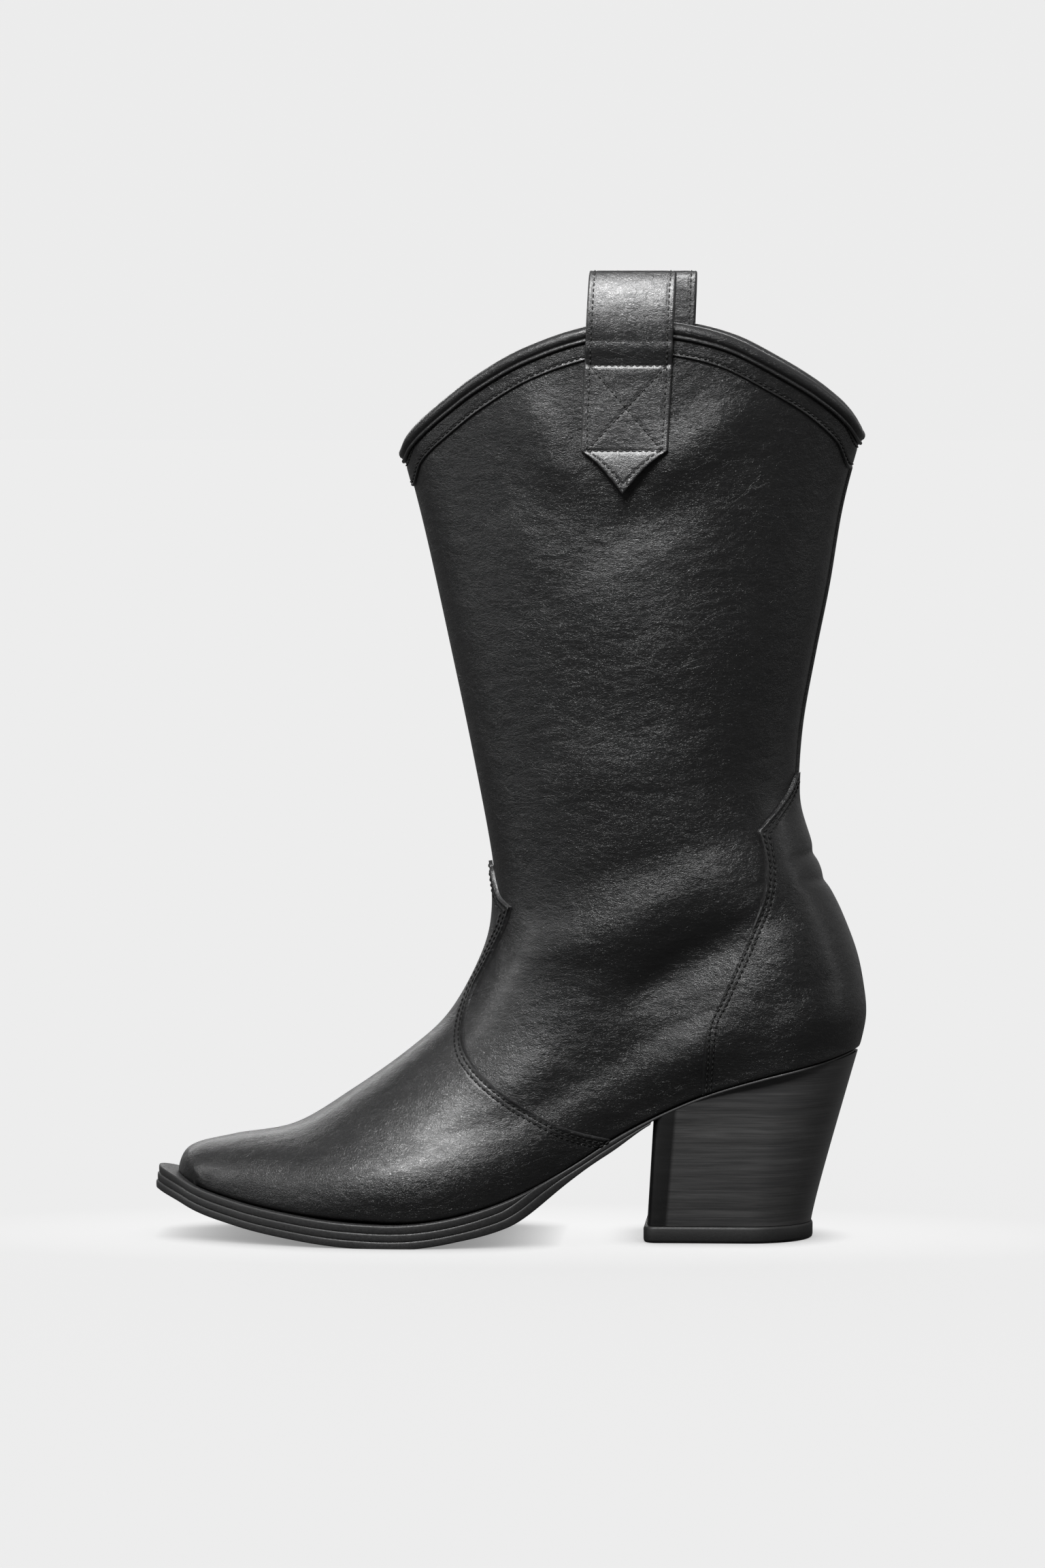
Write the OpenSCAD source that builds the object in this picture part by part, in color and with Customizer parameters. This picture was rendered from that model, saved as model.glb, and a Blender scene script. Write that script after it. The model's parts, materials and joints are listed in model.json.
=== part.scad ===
// Western boot, mid-calf, left foot, shown at EU 38.
// Frame: +Z up, -X towards the toe, -Y the outer (lateral) side, origin on the ground under mid-length.
// The upper is one reference skin seen from the side, and every leather piece is a patch of it
// with its own layer of thickness.

/* [Boot] */
// Overall length, toe of the sole to the back of the heel
boot_length = 250; // [240:1:262]
// Height of the topline above the ground at its peak
boot_height = 325; // [315:1:335]
// Half width of the opening at the topline
top_half_width = 40; // [37:0.5:44]
// Half width of the ankle
ankle_half_width = 32; // [30:0.5:35]

/* [Leather] */
// Thickness of the outer leather
leather_t = 1.3; // [1:0.1:1.5]
// Thickness of the lining
lining_t = 1; // [0.8:0.1:1.2]
// Height of the facing band under the topline
band_h = 12.5; // [10:0.5:15]
// Height of the rolled binding on the topline
binding_h = 3.2; // [2.5:0.1:4]

/* [Sole] */
// Thickness of each of the three sole layers
sole_layer_t = 2.75; // [2.4:0.05:3]
// How far the welt stands out past the upper
welt_out = 4.6; // [3.5:0.1:6]
// Thickness of the rubber top lift
lift_t = 6; // [5:0.5:8]

/* [Pull straps] */
// Width of a pull strap
strap_w = 30.5; // [26:0.5:34]
// Thickness of a folded pull strap
strap_t = 1.5; // [1.2:0.1:1.8]
// How far a loop stands above the topline
loop_h = 18; // [15:0.5:22]
// Gap between the two legs of a loop
loop_gap = 6.4; // [5.5:0.1:7]
// How far the inner side's strap is sewn behind the outer side's
medial_strap_back = 4.9; // [0:0.1:10]

/* [Hidden] */

$fn = 48;
LATERAL = -1;
MEDIAL = 1;
kx = boot_length / 250;
kz = boot_height / 325;

// Layers, as distances outwards from the reference skin
skin_gap = 0.15;
outer_layer = [skin_gap, skin_gap + leather_t];
mid_layer = [-skin_gap - leather_t, -skin_gap];
lining_layer = [mid_layer[0] - skin_gap - lining_t, mid_layer[0] - skin_gap];
stiffener_layer = [mid_layer[0] + 0.15, mid_layer[1] - 0.25];
outer_tab_layer = [outer_layer[1] + skin_gap, outer_layer[1] + skin_gap + strap_t];
inner_tab_gap = 0.8;
inner_tab_layer = [lining_layer[0] - inner_tab_gap - strap_t, lining_layer[0] - inner_tab_gap];
binding_layer = [lining_layer[0] - 1, outer_layer[1]];

// Side-view outlines of the skin, in mm at the nominal size
front_knots = [
    [-117.2, 21.8], [-113.2, 30], [-98, 34.1], [-76, 38.3], [-55, 50.8], [-34.6, 65.4], [-20.5, 78.6],
    [-9.6, 98], [-5.2, 114], [-6.2, 134], [-13.2, 172], [-22, 214], [-30.4, 252], [-37.8, 280.4]
];
back_knots = [
    [123, 67.6], [125.3, 79], [124.4, 90], [121.8, 102], [116.4, 116], [110.2, 128.5], [105.4, 142],
    [102, 154], [101.9, 166], [103.6, 185], [107.8, 208], [112.6, 232], [117.3, 260], [124.5, 287]
];
feather_knots = [
    [123, 67.6], [109, 63.6], [90, 58.8], [69, 52.2], [52, 44.6], [38, 37], [24, 28], [8.4, 19.3],
    [-9, 12.8], [-30, 8.8], [-53, 9.2], [-75, 11.2], [-96, 14.8], [-111, 18.9], [-117.2, 21.8]
];
rim_knots = [
    [124.5, 287], [120, 294], [110, 302.6], [97, 310.6], [80, 319.3], [62, 323.9], [42.6, 325.2],
    [24, 321.7], [5, 314.7], [-12, 304.8], [-25, 294.8], [-34, 286.6], [-37.8, 280.4]
];
// The front and back lines run on past the topline, so that the skin is defined up to its peak
front_reach = concat(front_knots, [[-50, 325]]);
back_reach = concat(back_knots, [[136, 325]]);
reach_share = (len(front_knots) - 1) / len(front_knots);
// How deep the skin takes to reach its full width, at each knot of those two lines
front_depth = [11, 12, 19, 29, 42, 55, 60, 60, 58, 56, 58, 66, 74, 81, 92];
back_depth = [27, 27, 27, 28, 30, 34, 42, 50, 55, 57, 62, 68, 74, 81, 92];
// Half widths of the foot along X, outer side and inner side
lateral_half = [
    [-130, 10], [-118, 13], [-110, 17], [-103, 21], [-92, 27.5], [-80, 33], [-65, 38.5], [-48, 41.5],
    [-30, 42], [-12, 39], [5, 33.5], [20, 28.5], [35, 25.5], [52, 25], [70, 26.5], [90, 28], [130, 28]
];
medial_half = [
    [-130, 10], [-118, 13], [-110, 17.5], [-103, 22], [-92, 29], [-80, 34.5], [-65, 38.5], [-48, 39.5],
    [-30, 37.5], [-12, 32.5], [5, 27], [20, 23], [35, 21.5], [52, 23], [70, 25.5], [90, 27.5], [130, 28]
];
// Half widths of the leg along Z
leg_half = [
    [120, ankle_half_width], [165, ankle_half_width + 2],
    [220, lerp(ankle_half_width, top_half_width, 0.75)], [300, top_half_width], [330, top_half_width]
];
// Height over which the foot's width turns into the leg's, and the rounding over the welt
foot_to_shaft = 95;
seat_bulge = 1.8;
seat_bulge_h = 30;
// Share of the height that the sole's curve and the topline's curve reach into the skin
feather_reach = 0.7;
rim_start = 0.45;
// Skin coordinate v runs from 0 at the sole to 1 at the topline; near the topline 1 stands for this many mm
drop_scale = 330;
even_from = 0.9;
even_over = 0.06;

// Edges of the cut pieces, seen from the side
vamp_edge = [
    [37, 36.8], [20, 41.6], [2, 51.5], [-11, 62.5], [-15.2, 72], [-12.8, 86], [-7, 98], [-0.5, 112],
    [1.3, 118], [-3, 122], [-3.8, 130]
];
counter_edge = [
    [69.1, 52.5], [69.5, 63], [72, 77.7], [77, 90], [85, 107.5], [91, 126], [90.7, 139], [88.8, 145.5],
    [95.3, 153.9], [98.6, 160]
];
shaft_back_edge = [[80, 55.8], [83, 78], [90, 100], [96, 122], [98.5, 145], [101.8, 165]];
shaft_front_edge = [[28, 30.6], [10, 38.5], [-6, 50], [-16, 62], [-20, 78]];
stiffener_edge = [[81, 55.8], [84, 78], [91, 100], [97, 122], [99.4, 138], [100.6, 146]];
vamp_lining_edge = [[24, 28], [14, 45], [10, 65], [8, 85], [5, 100], [-2, 110]];
lining_front_edge = [[25, 28.8], [15, 45], [11, 65], [9, 85], [6, 100], [-2, 112]];
puff_edge = [[-72, 10.9], [-70, 20], [-69, 30], [-70.5, 38]];
edge_steps = 24;
// Heights, as v, at which each of those edges meets the front or the back line
vamp_top = 0.673;
counter_top = 0.585;
shaft_back_cut = 0.631;
shaft_front_cut = 0.485;
vamp_lining_top = 0.569;
lining_front_cut = 0.585;
puff_top = 0.223;
stiffener_top = 0.477;
tape_from = 0.638;
tape_half = 0.035;

// Sole, seen from the side: its top line, toe first, and the layers hung under it
sole_knots = [
    [-125, 24.6], [-117.2, 21.6], [-111, 18.7], [-96, 14.4], [-75, 10.6], [-53, 8.3], [-32, 8.2],
    [-9, 12.5], [8.4, 19.1], [24, 27.8], [38, 36.8], [52, 44.4], [69, 52], [90, 58.6], [109, 63.4],
    [123.5, 67.4]
];
toe_round = 14;
heel_round = 27;
welt_end = 13;
welt_taper = 15;
heel_breast_x = 51;
waist_midsole_t = 1.9;
seat_t = 1;
waist_outsole_t = 2.2;
breast_outsole_t = 0.7;
waist_ext = 0.6;
welt_width = 10;
welt_gap = 0.1;
least_depth = 0.3;
bottom_gap = 0.3;

// Inside the shoe: how far the boards stop short of the outline, and their heights over the sole's top line
inside_gap = 3.9;
filler_top = 1.5;
insole_top = 3.1;
nail_head_z = 2.7;
heel_pad_gap = 2;
sock_gap = 0.6;
sock_t = 1.2;
heel_pad_h = 2.6;
shank_half = 6;
shank_slot_half = 6.3;

// Heel
heel_top_back = 123;
heel_low_back = 106.6;
heel_low_front = 49.7;
heel_low_half = 23.5;
heel_top_half = 26.6;
heel_steps = 12;
heel_levels = 6;
heel_wrap_t = 0.7;
lift_ext = 0.3;
nail_r = 1;
nail_length = 20;
screw_r = 2.2;
screw_length = 34;
screw_x = 84;
pin_r = 1.6;
pin_length = 16;
pin_x = 76;
pin_y = 9;
pin_z = 2;
nail_places = [[66, -15], [66, 15], [88, -18], [88, 18], [108, 0]];

// Pull straps
strap_x_low = 42.3;
strap_z_low = 279.5;
strap_tip_drop = 14.8;
strap_lean = 0.045;
strap_z_top = 322.6;
inner_tab_z_top = 318.6;
inner_tab_length = 36;
rim_peak = 325.2;
loop_clear = 2.6;
crest_h = 1.2;
crest_in = 0.45;

BLACK = [0.05, 0.05, 0.055];
LINING = [0.23, 0.22, 0.21];
RUBBER = [0.09, 0.09, 0.09];
STACK = [0.17, 0.16, 0.155];
BOARD = [0.55, 0.45, 0.33];
STEEL = [0.65, 0.66, 0.68];
FOAM = [0.75, 0.72, 0.6];

// ---- curves
function lerp(a, b, t) = a + (b - a) * t;
function unit01(t) = min(1, max(0, t));
function ease(t) = let (u = unit01(t)) u * u * (3 - 2 * u);
function cosine(t) = (1 - cos(180 * t)) / 2;
function size_up(p) = [p[0] * kx, p[1] * kz];
// Smooth curve through evenly spaced knots
function curve(p, t) =
    let (n = len(p) - 1, q = unit01(t) * n, k = min(n - 1, floor(q)), u = q - k)
    let (a = p[max(0, k - 1)], b = p[k], c = p[k + 1], d = p[min(n, k + 2)])
    b + 0.5 * u * ((c - a) + u * (2 * a - 5 * b + 4 * c - d + u * (3 * (b - c) + d - a)));
function front_at(t) = curve(front_reach, t * reach_share);
function back_at(t) = curve(back_reach, t * reach_share);
function feather_z(x) = lookup(x, feather_knots);
function sole_z(x) = lookup(x, sole_knots);

// ---- half width of the skin at a side-view point
function seg_dist(p, a, b) =
    let (ab = b - a, t = unit01(((p - a) * ab) / (ab * ab)))
    norm(p - a - t * ab);
LINE_SHARES = [for (i = [0:42]) i / 42];
FRONT_LINE = [for (t = LINE_SHARES) curve(front_reach, t)];
BACK_LINE = [for (t = LINE_SHARES) curve(back_reach, t)];
FRONT_DEPTHS = [for (t = LINE_SHARES) curve(front_depth, t)];
BACK_DEPTHS = [for (t = LINE_SHARES) curve(back_depth, t)];
function edge_share(p, line, depth) =
    min([for (i = [0:len(line) - 2]) seg_dist(p, line[i], line[i + 1]) / depth[i]]);
function round_off(u) = let (w = 1 - unit01(u)) sqrt(1 - w * w);
function foot_half(x, side) = lookup(x, side == LATERAL ? lateral_half : medial_half);
function half_width(p, side) =
    let (h = p[1] - feather_z(p[0]))
    let (full = lerp(foot_half(p[0], side), lookup(p[1], leg_half), ease(h / foot_to_shaft)))
    let (bulge = seat_bulge * sin(180 * unit01(h / seat_bulge_h)))
    (full + bulge) * round_off(edge_share(p, FRONT_LINE, FRONT_DEPTHS))
    * round_off(edge_share(p, BACK_LINE, BACK_DEPTHS));

// ---- the skin in its own coordinates
// a runs round one side from the back line (0) to the front line (1), v from the sole (0) to the topline (1)
// Straight lines from back to front, bent down towards the sole's edge and up towards the topline
function bend(knots, u) = curve(knots, u) - lerp(knots[0], knots[len(knots) - 1], u);
function plain_side_at(u, v) =
    lerp(back_at(v), front_at(v), u) + pow(1 - unit01(v / feather_reach), 2) * bend(feather_knots, u)
    + pow(unit01((v - rim_start) / (1 - rim_start)), 2) * bend(rim_knots, u);
// How fast the skin runs away from the topline with v, square to the topline
function rim_rate(u) =
    let (h = 0.004, down = (plain_side_at(u, 1) - plain_side_at(u, 1 - h)) / h)
    let (along = plain_side_at(min(1, u + h), 1) - plain_side_at(max(0, u - h), 1))
    abs(down[0] * along[1] - down[1] * along[0]) / norm(along);
RIM_RATES = [for (i = [0:40]) [i / 40, rim_rate(i / 40)]];
// The same with v spaced evenly under the topline, whatever the topline's slope there
function side_at(u, v) =
    let (even = drop_scale / lookup(u, RIM_RATES))
    plain_side_at(u, 1 - (1 - v) * lerp(1, even, ease((v - even_from) / even_over)));
function below_topline(drop) = 1 - drop / drop_scale;
function skin_point(a, v, side) =
    let (p = side_at(cosine(a), v), q = size_up(p), on_line = a < 0.001 || a > 0.999)
    [q[0], on_line ? 0 : side * half_width(p, side), q[1]];
// Skin coordinates of a side-view point, by Newton's method
function skin_uv(p, uv = [0.5, 0.4], steps = 14) =
    steps == 0 ? uv :
    let (h = 0.002, q = side_at(uv[0], uv[1]), d = p - q)
    let (du = (side_at(uv[0] + h, uv[1]) - q) / h, dv = (side_at(uv[0], uv[1] + h) - q) / h)
    let (det = du[0] * dv[1] - du[1] * dv[0])
    let (su = (d[0] * dv[1] - d[1] * dv[0]) / det, sv = (du[0] * d[1] - du[1] * d[0]) / det)
    skin_uv(p, [min(0.997, max(0.001, uv[0] + su)), min(0.997, max(0.001, uv[1] + sv))], steps - 1);
function angle_share(u) = acos(1 - 2 * u) / 180;
// An edge drawn in side view, as a table from v to a
function edge_table(knots) = [for (i = [0:edge_steps])
    let (uv = skin_uv(curve(knots, i / edge_steps))) [uv[1], angle_share(uv[0])]];
function side_grid(rows, cols, side, v0, v1, from, to) =
    [for (j = [0:rows]) let (v = lerp(v0, v1, j / rows), a0 = from(v), a1 = to(v))
        [for (i = [0:cols]) skin_point(lerp(a0, a1, i / cols), v, side)]];
// Two half grids that share their last column, on the centre line
function both_sides(lateral, medial) =
    [for (j = [0:len(lateral) - 1]) let (n = len(lateral[0]))
        concat(lateral[j], [for (i = [n - 2:-1:0]) medial[j][i]])];
AT_BACK = function(v) 0;
AT_FRONT = function(v) 1;

// ---- solids from grids
function unit(v) = v / max(norm(v), 1e-9);
function grid_cross(g, j, i) =
    let (m = len(g) - 1, n = len(g[0]) - 1)
    cross(g[j][min(n, i + 1)] - g[j][max(0, i - 1)], g[min(m, j + 1)][i] - g[max(0, j - 1)][i]);
// +1 where a grid's rows and columns make normals that point out of the boot
function facing(g) =
    let (j = floor(len(g) / 2), i = floor(len(g[0]) / 4))
    sign(grid_cross(g, j, i)[1] * g[j][i][1]);
function outward(g, j, i, sense) =
    let (c = sense * grid_cross(g, j, i))
    abs(g[j][i][1]) < 0.01 ? unit([c[0], 0, c[2]]) : unit(c);
function offset_grid(g, d) = let (sense = facing(g))
    [for (j = [0:len(g) - 1]) [for (i = [0:len(g[0]) - 1]) g[j][i] + d * outward(g, j, i, sense)]];
// Closed solid between two grids of the same size; "above" lies on the side its normals point to
module between(below, above) {
    m = len(above) - 1;
    n = len(above[0]) - 1;
    w = n + 1;
    top = (m + 1) * w;
    points = concat([for (r = below) each r], [for (r = above) each r]);
    faces = concat(
        [for (j = [0:m - 1]) for (i = [0:n - 1]) each
            let (a = j * w + i, b = a + 1, c = a + w + 1, d = a + w)
            [[a, b, c], [a, c, d], [top + a, top + c, top + b], [top + a, top + d, top + c]]],
        [for (i = [0:n - 1]) each
            let (a = i, b = i + 1, c = m * w + i, d = c + 1)
            [[a, top + a, top + b], [a, top + b, b], [c, d, top + d], [c, top + d, top + c]]],
        [for (j = [0:m - 1]) each
            let (a = j * w, b = a + w, c = j * w + n, d = c + w)
            [[a, b, top + b], [a, top + b, top + a], [c, top + c, top + d], [c, top + d, d]]]);
    polyhedron(points, faces, convexity = 10);
}
module skin_sheet(grid, layer) {
    inner = offset_grid(grid, layer[0]);
    outer = offset_grid(grid, layer[1]);
    if (facing(grid) > 0) between(inner, outer);
    else between(outer, inner);
}

// ---- upper pieces
// Piece across the front line, back to its edge on both sides
module front_piece(rows, cols, edge, v_end, layer) {
    table = edge_table(edge);
    from = function(v) lookup(v, table);
    skin_sheet(both_sides(side_grid(rows, cols, LATERAL, 0, v_end, from, AT_FRONT),
                          side_grid(rows, cols, MEDIAL, 0, v_end, from, AT_FRONT)), layer);
}
// Piece across the back line, forward to its edge on both sides
module back_piece(rows, cols, edge, v_end, layer) {
    table = edge_table(edge);
    from = function(v) lookup(v, table);
    skin_sheet(both_sides(side_grid(rows, cols, LATERAL, 0, v_end, from, AT_BACK),
                          side_grid(rows, cols, MEDIAL, 0, v_end, from, AT_BACK)), layer);
}
// One side of the leg, up to the binding; where an edge ends, the piece runs on to the centre line
module leg_side(rows, cols, side, back_edge, v_back, front_edge, v_front, layer) {
    back_table = len(back_edge) > 0 ? edge_table(back_edge) : [];
    front_table = edge_table(front_edge);
    from = function(v) v < v_back ? lookup(v, back_table) : 0;
    to = function(v) v < v_front ? lookup(v, front_table) : 1;
    skin_sheet(side_grid(rows, cols, side, 0, below_topline(binding_h), from, to), layer);
}
module shaft_panel(side) {
    leg_side(24, 14, side, shaft_back_edge, shaft_back_cut, shaft_front_edge, shaft_front_cut, mid_layer);
}
module shaft_lining(side) {
    leg_side(26, 18, side, [], 0, lining_front_edge, lining_front_cut, lining_layer);
}

module vamp() {
    color(BLACK) front_piece(22, 10, vamp_edge, vamp_top, outer_layer);
}
module heel_counter_cover() {
    color(BLACK) back_piece(16, 8, counter_edge, counter_top, outer_layer);
}
module shaft_panel_lateral() {
    color(BLACK) shaft_panel(LATERAL);
}
module shaft_panel_medial() {
    color(BLACK) shaft_panel(MEDIAL);
}
module shaft_lining_lateral() {
    color(LINING) shaft_lining(LATERAL);
}
module shaft_lining_medial() {
    color(LINING) shaft_lining(MEDIAL);
}
module vamp_lining() {
    color(LINING) front_piece(18, 10, vamp_lining_edge, vamp_lining_top, lining_layer);
}
module toe_puff() {
    color(BOARD) front_piece(8, 8, puff_edge, puff_top, stiffener_layer);
}
module counter_stiffener() {
    color(BOARD) back_piece(13, 8, stiffener_edge, stiffener_top, stiffener_layer);
}
module top_band(side) {
    skin_sheet(side_grid(1, 22, side, below_topline(band_h), below_topline(binding_h + 0.1),
                         AT_BACK, AT_FRONT), outer_layer);
}
module top_band_lateral() {
    color(BLACK) top_band(LATERAL);
}
module top_band_medial() {
    color(BLACK) top_band(MEDIAL);
}
// Closed bead around the topline: its section is a band with a rounded crest
module topline_binding() {
    n = 28;
    v0 = below_topline(binding_h - 0.1);
    v1 = below_topline(crest_h);
    function ring(side) =
        let (g = side_grid(1, n, side, v0, v1, AT_BACK, AT_FRONT))
        let (outer = offset_grid(g, binding_layer[1]), inner = offset_grid(g, binding_layer[0]))
        [for (i = [0:n]) let (mid = (outer[1][i] + inner[1][i]) / 2)
            [outer[0][i], outer[1][i], lerp(outer[1][i], mid, crest_in) + [0, 0, crest_h],
             lerp(inner[1][i], mid, crest_in) + [0, 0, crest_h], inner[1][i], inner[0][i]]];
    lateral = ring(LATERAL);
    medial = ring(MEDIAL);
    loop = concat(lateral, [for (i = [n - 1:-1:1]) medial[i]]);
    count = len(loop);
    k = len(loop[0]);
    color(BLACK) polyhedron([for (s = loop) each s],
        [for (i = [0:count - 1]) for (j = [0:k - 1]) each
            let (a = i * k + j, b = i * k + (j + 1) % k, c = ((i + 1) % count) * k + (j + 1) % k,
                 d = ((i + 1) % count) * k + j)
            [[a, c, b], [a, d, c]]], convexity = 10);
}
module back_seam_tape() {
    v1 = below_topline(band_h + 1);
    tape = function(v) tape_half;
    color(BLACK) skin_sheet(both_sides(side_grid(14, 2, LATERAL, tape_from, v1, tape, AT_BACK),
                                       side_grid(14, 2, MEDIAL, tape_from, v1, tape, AT_BACK)), outer_layer);
}

// ---- pull straps
// Middle of a strap at height z
function strap_x(z, side) =
    strap_x_low + (side == MEDIAL ? medial_strap_back : 0) + (z - strap_z_low) * strap_lean;
// The part of a strap that is sewn to the leg, from z_low, with a point of height tip under it, to z_high
module strap_tab(side, layer, z_low, z_high, tip) {
    half = strap_w / 2;
    rows = 10;
    cols = 8;
    skin_sheet([for (j = [0:rows]) [for (i = [0:cols])
        let (u = 2 * i / cols - 1, z = lerp(z_low - tip * (1 - abs(u)), z_high, j / rows))
        let (p = [strap_x(z, side) + half * u, z], q = size_up(p))
        [q[0], side * half_width(p, side), q[1]]]], layer);
}
// The free part: an arch over the topline
module strap_loop(side) {
    z_hinge = rim_peak * kz;
    y_rim = half_width([strap_x(rim_peak, side), rim_peak], side);
    y_mid = side * (y_rim + (binding_layer[0] + binding_layer[1]) / 2);
    r_in = loop_gap / 2;
    r_out = r_in + strap_t;
    leg = loop_h - r_out - loop_clear;
    translate([strap_x(rim_peak, side) * kx, y_mid, z_hinge + loop_clear])
        rotate([0, atan(strap_lean), 0])
        rotate([90, 0, 90])
        linear_extrude(height = strap_w, center = true)
        difference() {
            union() {
                translate([0, leg]) circle(r = r_out);
                translate([-r_out, 0]) square([2 * r_out, leg]);
            }
            translate([0, leg]) circle(r = r_in);
            translate([-r_in, -1]) square([2 * r_in, leg + 1]);
        }
}
module lateral_strap_outer_tab() {
    color(BLACK) strap_tab(LATERAL, outer_tab_layer, strap_z_low, strap_z_top, strap_tip_drop);
}
module lateral_strap_inner_tab() {
    color(BLACK) strap_tab(LATERAL, inner_tab_layer, inner_tab_z_top - inner_tab_length, inner_tab_z_top, 0);
}
module lateral_strap_loop() {
    color(BLACK) strap_loop(LATERAL);
}
module medial_strap_outer_tab() {
    color(BLACK) strap_tab(MEDIAL, outer_tab_layer, strap_z_low, strap_z_top, strap_tip_drop);
}
module medial_strap_inner_tab() {
    color(BLACK) strap_tab(MEDIAL, inner_tab_layer, inner_tab_z_top - inner_tab_length, inner_tab_z_top, 0);
}
module medial_strap_loop() {
    color(BLACK) strap_loop(MEDIAL);
}

// ---- sole
// Ends of the outer layers and of the boards inside; an open tip or end lies far off and rounds nothing
TIP = -125;
SEAT_END = 122.6;
INNER_TIP = -110;
INNER_END = 118;
OPEN_TIP = -400;
OPEN_END = 400;
function toe_cap(x, tip) = round_off((x - tip + 0.4) / toe_round);
function heel_cap(x, end) = round_off((end - x + 0.4) / heel_round);
// Half width of a flat layer: the foot's own width plus ext, rounded at the toe tip and the heel end
function layer_half(x, side, ext, tip, end) =
    (foot_half(x, side) + ext) * toe_cap(x, tip) * heel_cap(x, end);
// Flat layer of the bottom between two heights over the sole's top line, given as functions of x
module bottom_layer(x0, x1, tip, end, ext, low, high, stations = 26, across = 6) {
    function row(q, level) = let (x = lerp(x0, x1, cosine(q)))
        [for (j = [0:across]) let (s = 2 * j / across - 1, side = s < 0 ? LATERAL : MEDIAL)
            [x * kx, s * layer_half(x, side, ext(x), tip, end), max(0, (sole_z(x) + level(x)) * kz)]];
    below = [for (q = [0:1 / stations:1.0001]) row(q, low)];
    above = [for (q = [0:1 / stations:1.0001]) row(q, high)];
    between(above, below);
}
// Depths under the top line, thinning from the forepart to the waist
function welt_depth(x) = sole_layer_t * (1 - ease((x - welt_end + welt_taper) / welt_taper));
function to_waist(x) = ease((x + 2) / 18);
function mid_depth(x) =
    welt_depth(x) + lerp(sole_layer_t, lerp(waist_midsole_t, seat_t, ease((x - 35) / 20)), to_waist(x));
function out_depth(x) =
    let (waist = lerp(waist_outsole_t, breast_outsole_t, ease((x - 36) / 16)))
    mid_depth(x) + lerp(sole_layer_t, waist, to_waist(x));
function edge_ext(x) = lerp(welt_out, waist_ext, ease((x - 2) / 22));

module welt() {
    n = 26;
    function rim(side) = [for (i = [0:n]) let (x = lerp(welt_end, TIP, 1 - pow(1 - i / n, 1.6)))
        [x, side * (i == n ? 0 : layer_half(x, side, edge_ext(x), TIP, OPEN_END))]];
    outline = concat(rim(LATERAL), [for (i = [n - 1:-1:0]) rim(MEDIAL)[i]]);
    last = len(outline) - 1;
    // The inner edge is the outer edge moved in by the strip's width
    function inward(i) = let (a = outline[max(0, i - 1)], b = outline[min(last, i + 1)], d = b - a)
        let (m = outline[i] + welt_width * [d[1], -d[0]] / norm(d))
        i == 0 || i == last ? [outline[i][0], outline[i][1] - sign(outline[i][1]) * welt_width] : m;
    function level(p, drop) = [p[0] * kx, p[1], (sole_z(p[0]) - drop) * kz];
    above = [for (i = [0:last]) [level(outline[i], welt_gap), level(inward(i), welt_gap)]];
    below = [for (i = [0:last]) let (drop = max(least_depth, welt_depth(outline[i][0]) - skin_gap))
        [level(outline[i], drop), level(inward(i), drop)]];
    color(RUBBER) between(above, below);
}
module midsole() {
    color(RUBBER) bottom_layer(TIP - 0.3, SEAT_END, TIP - 0.3, SEAT_END, function(x) edge_ext(x) + 0.3,
        function(x) -mid_depth(x), function(x) -welt_depth(x) - bottom_gap);
}
module outsole() {
    color(RUBBER) bottom_layer(TIP - 0.5, heel_breast_x, TIP - 0.5, OPEN_END, function(x) edge_ext(x) + 0.6,
        function(x) -out_depth(x), function(x) -mid_depth(x) - bottom_gap - skin_gap);
}
module forepart_filler() {
    color(BOARD) bottom_layer(INNER_TIP + 1, -9, INNER_TIP + 1, OPEN_END, function(x) -inside_gap,
        function(x) bottom_gap, function(x) filler_top, 14, 4);
}
module shank_strip(x0, x1, half, low, high, step = 6) {
    stations = [for (x = [x0:step:x1]) x];
    function row(x, level) = [for (y = [-half, half]) [x * kx, y, (sole_z(x) + level) * kz]];
    between([for (x = stations) row(x, high)], [for (x = stations) row(x, low)]);
}
module steel_shank() {
    color(STEEL) shank_strip(0, 96, shank_half, bottom_gap, filler_top - 0.1);
}
module tuck_board() {
    color(BOARD) difference() {
        bottom_layer(-8, INNER_END, OPEN_TIP, INNER_END, function(x) -inside_gap,
            function(x) bottom_gap, function(x) filler_top, 16, 4);
        shank_strip(-4, 102, shank_slot_half, -3, 6);
    }
}
// The pad rises from its front edge and thins out under the back of the heel
function heel_pad_t(x) = heel_pad_h * ease((x - 58) / 18) * (1 - 0.5 * ease((x - 100) / 18));
module insole_board() {
    end = INNER_END + 0.5;
    color(BOARD) bottom_layer(INNER_TIP, end, INNER_TIP, end, function(x) -inside_gap,
        function(x) filler_top + bottom_gap, function(x) insole_top, 22, 4);
}
module heel_pad() {
    end = INNER_END - 1;
    color(FOAM) bottom_layer(62, end, OPEN_TIP, end, function(x) -inside_gap - heel_pad_gap,
        function(x) insole_top + 0.1, function(x) insole_top + 0.2 + heel_pad_t(x), 16, 4);
}
module sock_liner() {
    tip = INNER_TIP + 1;
    end = INNER_END - 0.5;
    low = insole_top + 0.6;
    color(LINING) bottom_layer(tip, end, tip, end, function(x) -inside_gap - sock_gap,
        function(x) low + heel_pad_t(x), function(x) low + sock_t + heel_pad_t(x), 40, 4);
}

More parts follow.
